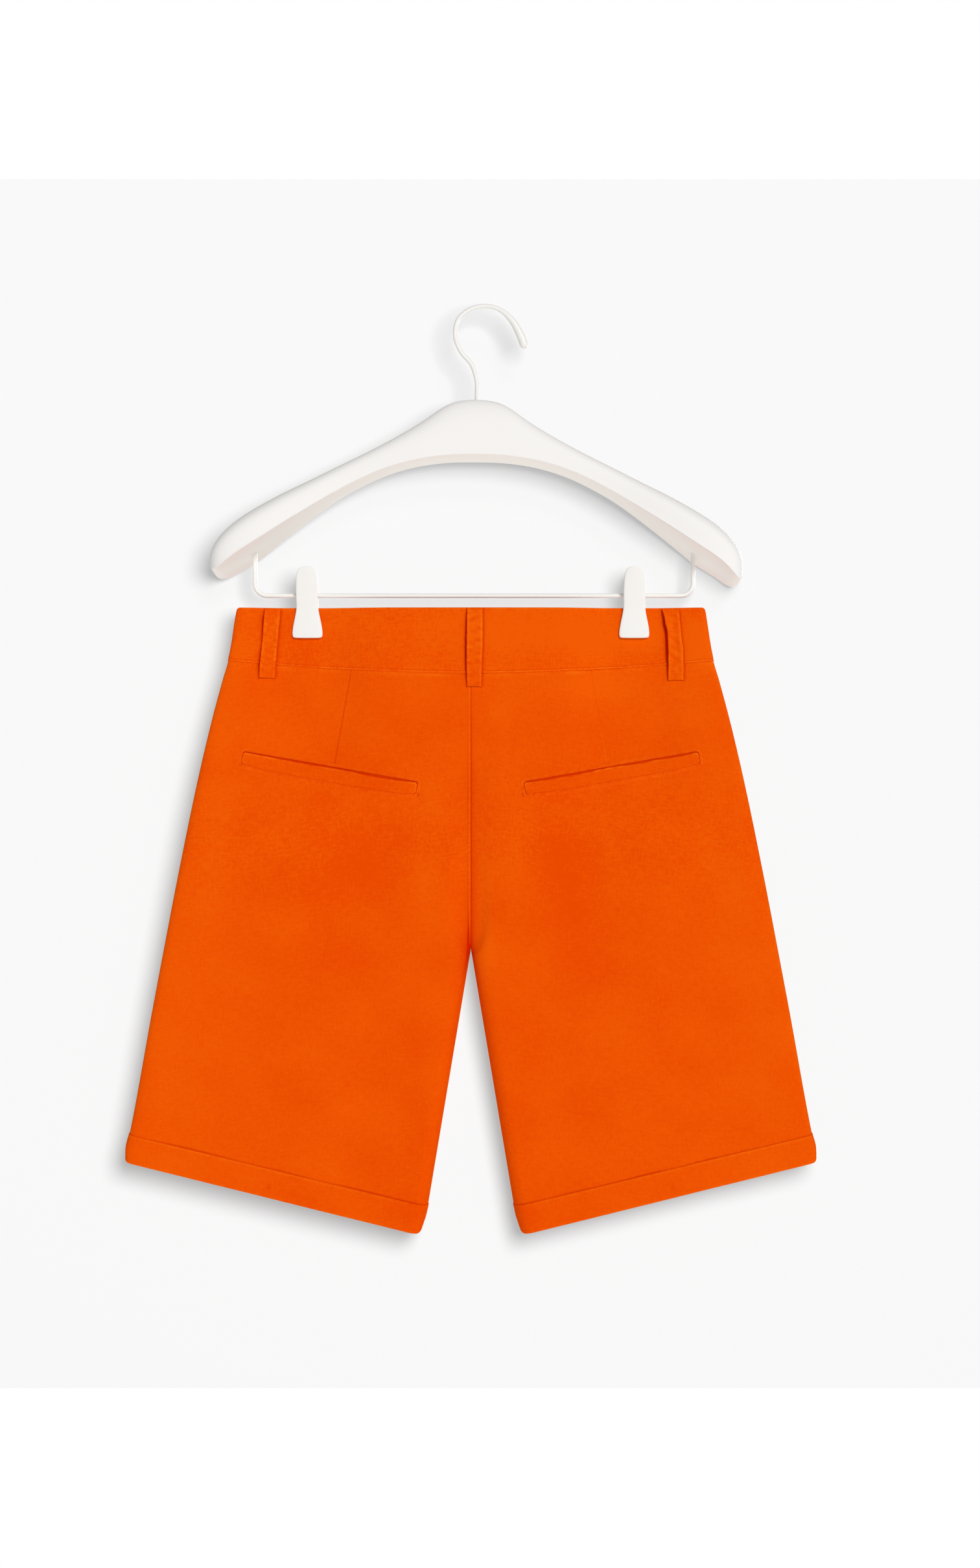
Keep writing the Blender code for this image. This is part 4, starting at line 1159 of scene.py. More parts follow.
class Nodes:
    """Adds nodes to a tree and joins them, so that a finish reads as a list of steps."""

    def __init__(self, tree):
        self.tree = tree

    def feed(self, node, inputs):
        """Joins sockets to a node's inputs, and sets the inputs that get plain values."""
        for key, value in inputs.items():
            if isinstance(value, bpy.types.NodeSocket):
                self.tree.links.new(value, node.inputs[key])
            else:
                node.inputs[key].default_value = value

    def add(self, kind, inputs=None, **values):
        node = self.tree.nodes.new(kind)
        for name, value in values.items():
            setattr(node, name, value)
        self.feed(node, inputs or {})
        return node

    def math(self, operation, *values, clamp=False):
        node = self.add("ShaderNodeMath", dict(enumerate(values)), operation=operation, use_clamp=clamp)
        return node.outputs[0]

    def blend(self, share, first, second):
        return self.add("ShaderNodeMix", {0: share, 6: first, 7: second}, data_type="RGBA").outputs[2]

    def noise(self, place, stretch, detail, roughness=0.5):
        """Noise whose cells are `stretch` apart, in metres along each axis."""
        scale = tuple(1 / value for value in stretch)
        mapped = self.add("ShaderNodeMapping", {"Vector": place, "Scale": scale}).outputs[0]
        inputs = {"Vector": mapped, "Scale": 1.0, "Detail": detail, "Roughness": roughness}
        return self.add("ShaderNodeTexNoise", inputs).outputs["Fac"]

    def place(self):
        return self.add("ShaderNodeTexCoord").outputs["Object"]

    def painted_on(self, label):
        """The value that a mesh carries under a label at each of its points."""
        return self.add("ShaderNodeAttribute", attribute_name=label).outputs["Fac"]

    def bump(self, relief, strength, distance):
        inputs = {"Strength": strength, "Distance": distance, "Height": relief}
        return self.add("ShaderNodeBump", inputs).outputs[0]


def effect(name, fill, **values):
    """A node group that makes a shade and a height from a place and some values, built by `fill`."""
    if name in bpy.data.node_groups:
        return bpy.data.node_groups[name]
    tree = bpy.data.node_groups.new(name, "ShaderNodeTree")
    tree.interface.new_socket(name="Place", in_out="INPUT", socket_type="NodeSocketVector")
    for label, value in values.items():
        socket = tree.interface.new_socket(name=label, in_out="INPUT", socket_type="NodeSocketFloat")
        socket.default_value = value
    for label in ("Shade", "Height"):
        tree.interface.new_socket(name=label, in_out="OUTPUT", socket_type="NodeSocketFloat")
    nodes = Nodes(tree)
    entry = nodes.add("NodeGroupInput")
    leave = nodes.add("NodeGroupOutput")
    nodes.feed(leave, dict(zip(("Shade", "Height"), fill(nodes, *entry.outputs[:len(values) + 1]))))
    return tree


def fill_weave(nodes, place, pitch, slub, tone):
    """Plain-woven linen: threads over and under, with slubs along the weft and a few along the warp."""
    parts = nodes.add("ShaderNodeSeparateXYZ", {0: place})
    warp_turn, weft_turn = (
        nodes.math("SINE", nodes.math("DIVIDE", nodes.math("MULTIPLY", parts.outputs[i], math.pi), pitch))
        for i in (0, 1)
    )
    crossing = nodes.math("MULTIPLY_ADD", nodes.math("MULTIPLY", warp_turn, weft_turn), 0.5, 0.5)
    over = nodes.math("MULTIPLY", nodes.math("ABSOLUTE", warp_turn), crossing)
    under = nodes.math("MULTIPLY", nodes.math("ABSOLUTE", weft_turn), nodes.math("SUBTRACT", 1.0, crossing))
    threads = nodes.math("SUBTRACT", nodes.math("MAXIMUM", over, under), 0.5)
    weft = nodes.noise(place, (0.0075, 0.0019, 1.0), detail=4.0, roughness=0.62)
    warp = nodes.noise(place, (0.0019, 0.0060, 1.0), detail=4.0, roughness=0.62)
    patch = nodes.noise(place, (0.045, 0.045, 1.0), detail=4.0, roughness=0.65)
    fleck = nodes.noise(place, (0.0022, 0.0016, 1.0), detail=2.0)
    slubs = nodes.math("ADD", nodes.math("MULTIPLY", weft, 0.5), nodes.math("MULTIPLY", warp, 0.5))
    uneven = nodes.math("SUBTRACT", slubs, 0.5)
    for source, share in ((patch, 0.45), (fleck, 0.3)):
        uneven = nodes.math("MULTIPLY_ADD", nodes.math("SUBTRACT", source, 0.5), share, uneven)
    # the tone input adds a slow random tone and the patches of painted light and shade
    middle = nodes.math("ADD", tone, 0.5)
    light = nodes.math("MULTIPLY_ADD", uneven, nodes.math("MULTIPLY", slub, 3.9), middle)
    light = nodes.math("MULTIPLY_ADD", threads, 0.16, light, clamp=True)
    rough = nodes.math("MULTIPLY", nodes.math("SUBTRACT", slubs, 0.5), nodes.math("MULTIPLY", slub, 4.0))
    return light, nodes.math("MULTIPLY_ADD", threads, 0.8, rough)


def fill_mottle(nodes, place, strength):
    """The faint cloudiness and orange peel of paint, lacquer and moulded plastic."""
    cloud = nodes.noise(place, (0.03, 0.03, 0.03), detail=3.0)
    peel = nodes.noise(place, (0.0024, 0.0024, 0.0024), detail=1.0)
    spread = nodes.math("MULTIPLY", nodes.math("SUBTRACT", cloud, 0.5), strength)
    return nodes.math("ADD", spread, 0.5, clamp=True), peel


def finish(name, look, *values):
    """The material of that name. `look` sets its nodes and its shader where it isn't made yet."""
    if name not in bpy.data.materials:
        material = bpy.data.materials.new(name)
        material.use_nodes = True
        tree = material.node_tree
        look(Nodes(tree), tree.nodes["Principled BSDF"], *values)
    return bpy.data.materials[name]


def colour(tone, share=1.0):
    return (*(min(1.0, part * share) for part in tone), 1.0)


def linen(nodes, shader, pitch_share=1.0, slub_share=1.0):
    """Orange linen. Its threads follow the piece's own Weave places. Painted shade darkens its seams,
    creases and the cloth beside the belt loops, painted highlights pale its ridges and lit edges, and
    patches of painted light and shade lift or deepen it.
    """
    cloth = bpy.context.scene.shorts_cloth
    slub = cloth.slub * slub_share
    weave = nodes.add("ShaderNodeGroup", node_tree=effect(
        "Linen weave", fill_weave, **{"Thread pitch": 0.0006, "Slub": 0.5, "Tone": 0.0},
    ))
    nodes.feed(weave, {
        "Place": nodes.add("ShaderNodeUVMap", uv_map="Weave").outputs[0],
        "Thread pitch": cloth.thread_pitch * pitch_share,
        "Slub": nodes.math("MULTIPLY_ADD", nodes.painted_on("Wear"), slub, slub),
        "Tone": nodes.painted_on("Tone"),
    })
    light = weave.outputs["Shade"]
    body = nodes.blend(light, colour(cloth.deep), colour(cloth.light))
    fold = nodes.painted_on("Fold")
    # the share of painted shade, and below it the share of painted highlight and side seam wear
    painted_shade_share = nodes.math("MULTIPLY", fold, 1.0, clamp=True)
    proud = nodes.math("MULTIPLY", fold, nodes.math("MULTIPLY", light, -1.7), clamp=True)
    nodes.feed(shader, {
        "Base Color": nodes.blend(painted_shade_share, nodes.blend(proud, body, colour(cloth.highlight_and_wear)), colour(cloth.fold)),
        "Roughness": nodes.math("MULTIPLY_ADD", light, -0.08, 0.93),
        "Normal": nodes.bump(weave.outputs["Height"], 0.35, 0.0002),
        "Specular IOR Level": 0.005,
        "Sheen Weight": 0.3,
        "Sheen Roughness": 0.35,
        "Sheen Tint": (1.0, 0.26, 0.005, 1.0),
    })


def leg_linen():
    return finish("Linen of the legs", linen)


def thread(nodes, shader, tone):
    """Twisted thread, a shade deeper than the cloth; the deeper colour partly paints the shade of the
    needle holes.
    """
    twist = nodes.noise(nodes.place(), (0.0009, 0.0009, 0.0004), detail=1.0)
    nodes.feed(shader, {
        "Base Color": nodes.blend(twist, colour(tone), colour(tone, 1.35)),
        "Normal": nodes.bump(twist, 0.4, 0.0001),
        "Roughness": 0.8,
        "Specular IOR Level": 0.03,
    })


def coat(nodes, shader, tone, roughness, specular, strength=0.25, peel=0.00003):
    """A smooth coat over wood, wire or plastic. It returns its colour."""
    mottle = nodes.add("ShaderNodeGroup", node_tree=effect("Paint mottle", fill_mottle, Strength=0.1))
    nodes.feed(mottle, {"Place": nodes.place(), "Strength": strength})
    body = nodes.blend(mottle.outputs["Shade"], colour(tone, 0.965), colour(tone, 1.02))
    nodes.feed(shader, {
        "Base Color": body,
        "Normal": nodes.bump(mottle.outputs["Height"], 0.3, peel),
        "Roughness": roughness,
        "Specular IOR Level": specular,
    })
    return body


def lacquer(nodes, shader, tone, underside):
    """White lacquer, painted a warmer tint on the surfaces that face down, for their shade and the warm
    light thrown up under them.
    """
    body = coat(nodes, shader, tone, 0.6, 0.15)
    normal = nodes.add("ShaderNodeTexCoord").outputs["Normal"]
    facing = nodes.add("ShaderNodeSeparateXYZ", {0: normal}).outputs[2]
    # how much of the painted underside tint a surface gets, by how far it faces down
    down = nodes.math("MULTIPLY_ADD", facing, -2.2, -0.9, clamp=True)
    nodes.feed(shader, {"Base Color": nodes.blend(down, body, colour(underside))})


def bare_metal(nodes, shader, tone):
    """Pale metal with fine scuffs."""
    scuff = nodes.noise(nodes.place(), (0.0006, 0.0006, 0.004), detail=2.0)
    nodes.feed(shader, {
        "Base Color": nodes.blend(scuff, colour(tone, 0.8), colour(tone)),
        "Roughness": nodes.math("MULTIPLY_ADD", scuff, 0.25, 0.22),
        "Metallic": 1.0,
    })


def zip_metal():
    return finish("Zip metal", bare_metal, setting("shorts_fittings", "metal"))


# ---- the cloth's pieces ----


def panel_grid(side, face, rows):
    """Drops and spots for a panel, closer together at its seams and along its dart."""
    top = 1 + np.concatenate([[-TUCK / BAND_TALL], NEAR_PANEL_SEAM])
    foot = 2 - HALF_GAP / LEG_RUN - NEAR_PANEL_SEAM[::-1]
    drops = np.concatenate([top, np.linspace(top[-1], foot[0], rows)[1:-1], foot])
    edge = np.linspace(0, 1, 15)[:-1] ** 1.5
    edge = np.concatenate([edge[:1], [0.012, 0.025], edge[1:]])
    beside = np.array([-4.5, -2.6, -1.5, -0.95, -0.6, -0.3, 0, 0.3, 0.6, 0.95, 1.5, 2.6, 4.5])
    drop = drops[:, None]
    across = np.full_like(drop, 100.0)
    for _ in range(3):
        across = dart_x(height(drop, across)) - inner_x(drop)
    first, last = spot_of(drop, across + beside[0]), spot_of(drop, across + beside[-1])
    inward = 1 + (first - 1) * np.linspace(0, 1, 30)[:-1]
    outward = last + (2 - last) * np.linspace(0, 1, 46)[1:]
    end = 2 + np.linspace(0, 1, 13)[1:]
    if face == FRONT:
        inward, outward = inward[:, ::2], outward[:, 1::2]
    spots = [edge + 0 * drop, inward, spot_of(drop, across + beside), outward, end + 0 * drop]
    if face == FRONT:
        return drop, np.concatenate(spots, axis=1)
    spots += [near + 0 * drop for near in spots_by_loops(face, side, *LOOPS_ON_PANEL)]
    return drop, np.sort(np.concatenate(spots, axis=1), axis=1)


def sew_panel(side_name, side, face_name, face):
    rows = setting("shorts_cloth", "rows")
    drop, spot = panel_grid(side, face, rows if face == BACK else rows * 2 // 3)
    across, x, z = places(drop, spot)
    from_waist = height(1 + HALF_GAP / BAND_TALL, across) - z
    from_cuff = z - height(2.0, across * width(2.0) / width(drop))
    from_side = width(drop) - across
    soft, sharp = panel_relief(side, face, x, z, across, from_waist, from_cuff, drop)
    held = 1 - soft_step((drop - 1.40) / 0.08) * bell(across / EDGE_HOLD)
    soft, sharp = soft * held * (1 - bell(from_side / EDGE_HOLD)), sharp * held
    outer = sheet_points(side, face, drop, spot, soft + sharp).reshape(-1, 3)
    inner = sheet_points(side, face, drop, spot, soft - CLOTH).reshape(-1, 3)
    points = np.concatenate([outer, inner])
    # painted shade in the seams, in the belt loops' shadows and by the centre seam; negative terms paint
    # highlights, with wear along the side seams, and the right dart's pale line
    fold = 0.4 * seam_painted_shade(sharp) + loop_shadows(face, x * side, z) + centre_seam_painted_shading(side, across, z)
    fold = fold + rise_of(SIDE_LIGHT_AND_WEAR, from_side)
    if face == BACK and side == RIGHT:
        low = soft_step((DART_PALE_TOP - z) / 12) * along_dart(z)
        fold = fold + low * rise_of(DART_PALE, x - dart_x(z))
    fold = fold + rise_of(WAIST_HIGHLIGHT, from_waist) * (0.6 + ripple(x, 0 * x, 30.0, 5 + side))
    fold = fold.ravel()
    piece = mesh_piece(
        f"cloth_{face_name}_{side_name}", points, wall_faces(*spot.shape), leg_linen(),
        woven=weave_place(points, side * GRAIN, shift=0.3 * side + 0.7 * face),
        fold=np.concatenate([fold, fold]),
    )
    dress(piece, [f"panel_{face_name}_{side_name}"])


def folded_levels(tall, wall, proud, near_edge, inner_steps):
    """(distance from the open edge, lift) down the outside of a folded strip, round its fold and back."""
    radius = wall / 2
    outside = [(at, proud) for at in near_edge]
    plain = np.linspace(near_edge[-1], tall - radius - 3.2, 14)[1:]
    outside += [(at, proud) for at in plain]
    outside += [(tall - radius - off, proud) for off in (2.4, 1.7, 1.2, 0.7, 0.3)]
    turns = np.linspace(0, math.pi, 9)
    fold = [
        (tall - radius + radius * math.sin(turn), proud - radius + radius * math.cos(turn))
        for turn in turns
    ]
    inside = [(at, proud - wall) for at in np.linspace(tall - radius, near_edge[0], inner_steps + 1)[1:]]
    return np.array(outside + fold + inside)


def strip(levels, drop, spot, side, face, soft, sharp):
    """(grid, outside): the places of a folded strip, whose outer side alone has the sharp relief."""
    outside = (np.arange(len(levels)) <= np.argmax(levels[:, 0]))[:, None]
    lift = levels[:, 1:] + soft + np.where(outside, sharp, 0)
    return sheet_points(side, face, drop, spot, lift), outside


def band_drop(from_seam):
    """The drop of the waistband's cloth at a distance up from its seam."""
    seam = HALF_GAP / BAND_TALL
    return 1 - seam - from_seam / BAND_TALL * (1 - seam)


def band_relief(face, x, z, at):
    """(soft, sharp): what the waistband's edge, stitches and wear do to its outer face."""
    seed = 60 + face
    soft = puckers(np.minimum(np.abs(at - STITCH_LINE), np.abs(BAND_TALL - at)), x, z, seed)
    soft = soft + 0.14 * ripple(x, z, 40.0, seed + 1) + 0.05 * ripple(x, z * 2.5, 13.0, seed + 2)
    return soft, rise_of(BAND_LINES, at)


def band_piece(name, node, stretches, face):
    """A waistband piece through stretches of (side, spots), the first from its far end inwards."""
    levels = folded_levels(BAND_TALL, BAND_WALL, BAND_PROUD, NEAR_BAND_SEAM, inner_steps=9)
    at = levels[:, :1]
    grids, folds = [], []
    for side, spots in stretches:
        spot = np.sort(spots)[None]
        drop = band_drop(at)
        _, x, z = places(drop, spot)
        x = x * side
        soft, sharp = band_relief(face, x, z, at)
        grid, outside = strip(levels, drop, spot, side, face, soft, sharp)
        # painted highlights on the band's ridge and top fold, set against the painted shade of its seam and
        # the loops' shadows
        pale = 0.35 * rise_of(BAND_RIM_HIGHLIGHTS, at) * (0.8 + 0.5 * ripple(x, 0 * z, 17.0, 71))
        fold = np.where(outside, 0.2 * seam_painted_shade(sharp) + loop_shadows(face, x, z) - pale, 0)
        turn = -1 if spots[0] > spots[-1] else 1
        grids.append(grid[:, ::turn])
        folds.append(fold[:, ::turn])
    if len(grids) == 2:
        middle = (grids[0][:, -1:] + grids[1][:, :1]) / 2
        grids = [grids[0][:, :-1], middle, grids[1][:, 1:]]
        folds = [folds[0][:, :-1], folds[0][:, -1:], folds[1][:, 1:]]
    grid, fold = np.concatenate(grids, axis=1), np.concatenate(folds, axis=1)
    points = grid.reshape(-1, 3)
    piece = mesh_piece(
        name, points, tube_faces(*grid.shape[:2]), finish("Linen of the waistband", linen),
        woven=weave_place(points, shift=0.9 * face), fold=fold.ravel(), sharp=60,
    )
    dress(piece, [node])


def spots_by_loops(face, side, drop, z, beside, count):
    """For each edge of a belt loop on one side, spots close together about it along a drop."""
    found = []
    for at_face, rows in LOOPS.values():
        for name in ("left", "right"):
            x = float(eased(rows, name, z)) * side
            if at_face == face and x > 0:
                found.append(spots_across(drop, x + np.linspace(-beside, beside, count)))
    return found


def waist_spots(face, side):
    """Spots along half the waistband, closer together at the belt loops' edges."""
    ends = np.linspace(0, 1, 9)
    spots = np.concatenate([ends[:-1], 1 + np.linspace(0, 1, 60)[:-1], 2 + ends])
    near = np.concatenate(spots_by_loops(face, side, *LOOPS_ON_BAND))
    far = [spot for spot in spots if np.abs(near - spot).min() > 0.004]
    return np.sort(np.concatenate([far, near]))


def sew_cuff(side_name, side, face_name, face):
    levels = folded_levels(CUFF_TALL, CUFF_WALL, CUFF_PROUD, NEAR_CUFF_SEAM, inner_steps=5)
    at = levels[:, :1]
    ends = np.linspace(0, 1, 11)
    spot = np.concatenate([ends[:-1], 1 + np.linspace(0, 1, 78)[:-1], 2 + ends])[None]
    seam = HALF_GAP / CUFF_TALL
    drop = 2 + seam + at / CUFF_TALL * (1 - seam)
    _, x, z = places(drop, spot)
    seed = 80 + face
    soft = 1.4 * puckers(np.minimum(at, CUFF_TALL - at) * 0.5, x * side, z, seed)
    soft = soft + 0.12 * ripple(x * side, z, 55.0, seed + 1)
    caught = soft_step((at - CUFF_TACK_ENDS[0]) / 2) * soft_step((CUFF_TACK_ENDS[1] - at) / 2)
    sharp = rise_of(CUFF_EDGE, at) + rise_of(CUFF_TACK, x) * caught
    grid, outside = strip(levels, drop, spot, side, face, soft, sharp)
    # painted shade in the cuff's seam, less the painted highlights on its top edge and hem fold
    fold = np.where(outside, 0.4 * seam_painted_shade(sharp) - rise_of(CUFF_HIGHLIGHTS, at), 0)
    points = grid.reshape(-1, 3)
    piece = mesh_piece(
        f"turn_up_{side_name}_{face_name}", points, tube_faces(*grid.shape[:2]), leg_linen(),
        woven=weave_place(points, side * GRAIN, shift=0.5 * side + 0.2 * face), fold=fold.ravel(), sharp=60,
    )
    dress(piece, [f"cuff_{side_name}_{face_name}"])


# ---- sewn-on pieces ----


def half_round(distance, thickness, reach):
    """How much of a layer's thickness has risen at a distance from its folded edge."""
    t = np.clip(distance / reach, 0, 1)
    return thickness * 0.5 * np.sqrt(1 - (1 - t) ** 2)


def layered(name, face, x, z, under, over, material, fold, turn=0.0):
    """A layer of cloth between two heights over the sheet it is sewn to."""
    points = np.concatenate([on_cloth(face, x, z, lift).reshape(-1, 3) for lift in (over, under)])
    return mesh_piece(
        name, points, wall_faces(*x.shape), material,
        woven=weave_place(points, turn, shift=0.37 * len(name)),
        fold=np.concatenate([fold.ravel(), fold.ravel() * 0]), sharp=60,
    )


def sew_loop(name, face, rows):
    high, low = rows[0].height, rows[-1].height
    z = np.linspace(high, low, 54)[:, None]
    left, right = loop_edge(rows, "left", z), loop_edge(rows, "right", z)
    share = np.array([
        0, 0.006, 0.018, 0.035, 0.06, 0.1, 0.2, 0.35, 0.5, 0.65, 0.8, 0.9, 0.94, 0.965, 0.982, 0.994, 1.0,
    ])[None]
    x = left + (right - left) * share
    from_edge = (right - left) * np.minimum(share, 1 - share)
    from_end = np.minimum(high - z, z - low)
    swell = half_round(np.minimum(from_edge, from_end + 0.02), LOOP_LAYER, 0.7)
    lift = eased(rows, "left_lift", z) * (1 - share) ** 1.5
    lift = lift + eased(rows, "right_lift", z) * share**1.5
    if name in LOOP_CREASE_HEIGHTS:
        lift = lift + rise_of(LOOP_CREASE, z - LOOP_CREASE_HEIGHTS[name])
    lift = lift + 0.1 * ripple(x, z, 14.0, len(name)) + 0.035 * ripple(x, z, 5.0, len(name) + 3)
    middle = np.maximum(lift, 0.05) + LOOP_LAYER / 2
    # painted shade along the loop's left edge and painted highlights in from both edges, with a random tone
    fold = rise_of(LOOP_SHADE_AND_HIGHLIGHTS["left"], x - left) + rise_of(LOOP_SHADE_AND_HIGHLIGHTS["right"], right - x)
    piece = layered(
        name.replace("belt_loop", "carrier"), face, x, z + 0 * x,
        middle - swell, middle + swell + rise_of(LOOP_HEM, z - low), finish("Linen of the carriers", linen),
        fold=fold + 0.25 * ripple(x, z, 6.0, len(name) + 9),
    )
    dress(piece, [name])


def welt_grid(side):
    """(share, down) over a welt's window: close rows outside its frame and just inside it."""
    near = np.array([0, 0.22, 0.45, 0.7, 1.0, 1.3, 1.6, 1.9, 2.2, 2.5, 2.8, 3.1, 3.5])
    outside = np.array([-WELT_MARGIN, -2.7, -2.1, -1.6, -1.2, -0.85, -0.55, -0.3, -0.12])
    middle = np.linspace(near[-1], WELT_LENGTH - near[-1], 120)[1:-1]
    far_end = [WELT_LENGTH - near[::-1], WELT_LENGTH - outside[::-1]]
    share = np.concatenate([outside, near, middle, *far_end])[None] / WELT_LENGTH
    tall = welt_tall(side, share)
    inner_rows = near[-1] + np.linspace(0, 1, 12)[1:, None] * (tall - 2 * near[-1])
    upper = np.concatenate([outside, near])[:, None] + 0 * share
    lower = tall + np.concatenate([-near[-2::-1], -outside[::-1]])[:, None]
    down = np.concatenate([upper, inner_rows, lower], axis=0)
    return share + 0 * down, down


def sew_welt(side_name, side):
    """The pocket's welt in its stitched window: the window's turned edge, the slit and the strip."""
    share, down = welt_grid(side)
    inside = welt_inside(side, share, down)
    along, from_end = share * WELT_LENGTH, from_welt_end(share)
    opening = eased(SLITS[side], "opening", np.clip(share, 0, 1))
    opening = opening * soft_step((3.2 - down) / 1.5) * soft_step((from_end - 0.4) / 1.5)
    mouth = np.maximum(soft_step((4.0 - down) / 3.0), 0.55 * soft_step(2.4 - from_end))
    start = 0.04 + 0.22 * mouth + opening
    lip = WELT_LIP * soft_step((inside + WELT_MARGIN) / 2.3) * soft_step((-inside - 0.05) / 0.45)
    raised = WELT_STRIP * soft_step((inside - start) / 0.55)
    raised = raised * (1 + 0.08 * ripple(along, down, 22.0, 90 + side))
    floor = WELT_FLOOR * (0.1 + 0.9 * mouth) * soft_step((inside + 0.35) / 0.3)
    over = WELT_UNDER + lip + rise_of(WELT_DIP, inside) + raised
    over = over + floor * soft_step((start + 0.35 - inside) / 0.4)
    over = over + WELT_LIP * (1 - mouth) * bell((inside - 0.1) / 0.5)
    over = over + 0.05 * ripple(along, down, 8.0, 95 + side)
    under = np.minimum(np.where(inside > -0.6, -0.95, -0.4), over - 0.12)
    # painted shade in the slit, deepest along the pocket's mouth, and painted highlights on the window's
    # frame and the strip's upper lip
    fold = (0.12 + 0.63 * mouth) * bell((inside - start * 0.45) / (0.3 + 0.45 * start))
    highlight_and_wear = rise_of(WELT_HIGHLIGHTS, inside) + 1.1 * mouth * bell((inside - start - 0.8) / 0.65)
    highlight_and_wear = highlight_and_wear * (0.75 + 0.6 * ripple(along, down, 7.0, 97 + side))
    x, z = welt_point(share, down)
    piece = layered(
        f"welt_{side_name}", BACK, x * side, z, under, over, leg_linen(),
        turn=-side * math.atan2(WELT_RUN[1], WELT_RUN[0]), fold=np.clip(fold, 0, 1) - highlight_and_wear,
    )
    dress(piece, [f"pocket_welt_{side_name}"])


def fly_outline(rows):
    """How far the placket has come down and how wide it is there, rounding in at its foot."""
    straight_rows = np.linspace(0, FLY_STRAIGHT, rows, endpoint=False)
    turn = FLY_TURN * np.linspace(0, 1, rows)
    fall = np.concatenate([straight_rows, FLY_STRAIGHT + FLY_CURVE * np.sin(turn) / math.sin(FLY_TURN)])
    wide = np.concatenate([np.full(rows, FLY_WIDTH), FLY_WIDTH * np.cos(turn)])
    return fall, wide


def sew_placket():
    fall, wide = fly_outline(34)
    share = np.array([
        0, 0.012, 0.03, 0.06, 0.12, 0.2, 0.3, 0.4, 0.5, 0.6, 0.7, 0.8, 0.88, 0.94, 0.975, 1.0,
    ])
    x = FLY_EDGE + (wide[:, None] - FLY_EDGE) * share[None]
    z = (FLY_TOP - fall)[:, None] + 0 * x
    from_edge = np.minimum(x - FLY_EDGE, wide[:, None] - x)
    from_end = np.minimum(FLY_TOP - z, z - z.min())
    swell = half_round(np.minimum(from_edge, from_end) + 0.02, LAYER, 0.7)
    middle = SEAM_GAP + LAYER / 2 + 0.1 * ripple(x, z, 26.0, 33)
    piece = layered("placket", FRONT, x, z, middle - swell, middle + swell, leg_linen(), fold=0 * x)
    dress(piece, ["fly_placket"])


# ---- stitches ----


def one_stitch(length, radius):
    """A stitch along X, low in the cloth at both ends, modelled once for all the rows."""
    deselect()
    bpy.ops.mesh.primitive_uv_sphere_add(segments=6, ring_count=5, radius=1.0, rotation=(0, math.pi / 2, 0))
    settle()
    points, faces = as_model(bpy.context.object)
    along = np.sign(points[:, 0]) * np.abs(points[:, 0]) ** 0.7
    points = np.column_stack([along * length / 2, points[:, 1] * radius, points[:, 2] * radius])
    points[:, 2] += radius * 0.45 * (1 - 1.6 * along**2)
    return points, faces


def stitch_row(name, lines, pitch, length_share, material=None):
    """Stitches along lines of (points, outward normals), joined in one piece."""
    sewing = bpy.context.scene.shorts_sewing
    model, faces = one_stitch(pitch * length_share, sewing.radius / MM)
    dice = np.random.default_rng(len(name))
    placed = []
    for line, outward in lines:
        gaps = np.linalg.norm(np.diff(line, axis=0), axis=1)
        run = np.concatenate([[0], np.cumsum(gaps)])
        for at in np.arange(pitch / 2, run[-1] - pitch / 4, pitch):
            at = at + dice.uniform(-0.05, 0.05) * pitch
            centre, ahead, behind, up = (
                np.array([np.interp(at + off, run, values[:, i]) for i in range(3)])
                for values, off in ((line, 0), (line, pitch / 3), (line, -pitch / 3), (outward, 0))
            )
            along = (ahead - behind) / np.linalg.norm(ahead - behind)
            across = np.cross(up, along)
            across /= np.linalg.norm(across)
            up = np.cross(along, across)
            tilt = dice.uniform(-0.06, 0.1)
            turned = along * math.cos(tilt) + across * math.sin(tilt)
            placed.append(centre + model @ np.array([turned, np.cross(up, turned), up]))
    material = material or finish("Sewing thread", thread, sewing.thread)
    dress(copies(name, placed, faces, material, sharp=80), [])


def band_line(face, side, from_seam):
    """A line along half the waistband's outer face, and its outward normals."""
    spot = np.linspace(0.0, 2.6, 150)[None]
    drop = band_drop(from_seam + np.array([[-0.3], [0], [0.3]]))
    _, x, z = places(drop, spot)
    soft, sharp = band_relief(face, x * side, z, from_seam)
    grid = sheet_points(side, face, drop, spot, BAND_PROUD + soft + sharp)
    outward = np.cross(np.gradient(grid[1], axis=0), grid[2] - grid[0])
    outward /= np.linalg.norm(outward, axis=1)[:, None]
    return grid[1], outward * np.sign(outward[:, 1:2] * face)


def full_band_line(face, from_seam):
    left, right = (band_line(face, side, from_seam) for side in (LEFT, RIGHT))
    return [np.vstack([left[i][::-1], right[i]]) for i in (0, 1)]


def cloth_line(face, x, z, lift):
    """A line over the cloth by distance from the centre and height, with its outward normals."""
    line = on_cloth(face, x, z, lift)
    return line, np.full_like(line, [0, face, 0])


def welt_lines(side):
    """The lines of stitches above and below a pocket's window."""
    share = np.linspace(0.0, 1.0, 80)
    lines = []
    for down in (-WELT_STITCHES + 0 * share, welt_tall(side, share) + WELT_STITCHES):
        x, z = welt_point(share, down)
        lines.append(cloth_line(BACK, x * side, z, STITCH_LIFT))
    return lines


def fly_lines():
    """The rows of stitches down the placket, rounding in at its foot."""
    fall, wide = fly_outline(30)
    lines = []
    for inset in FLY_ROWS:
        x, z = wide - inset, FLY_TOP - fall * (1 - inset * FLY_ROW_RISE)
        kept = x > FLY_EDGE + 3
        lines.append(cloth_line(FRONT, x[kept], z[kept], SEAM_GAP + LAYER + FLY_STITCH_LIFT))
    return lines


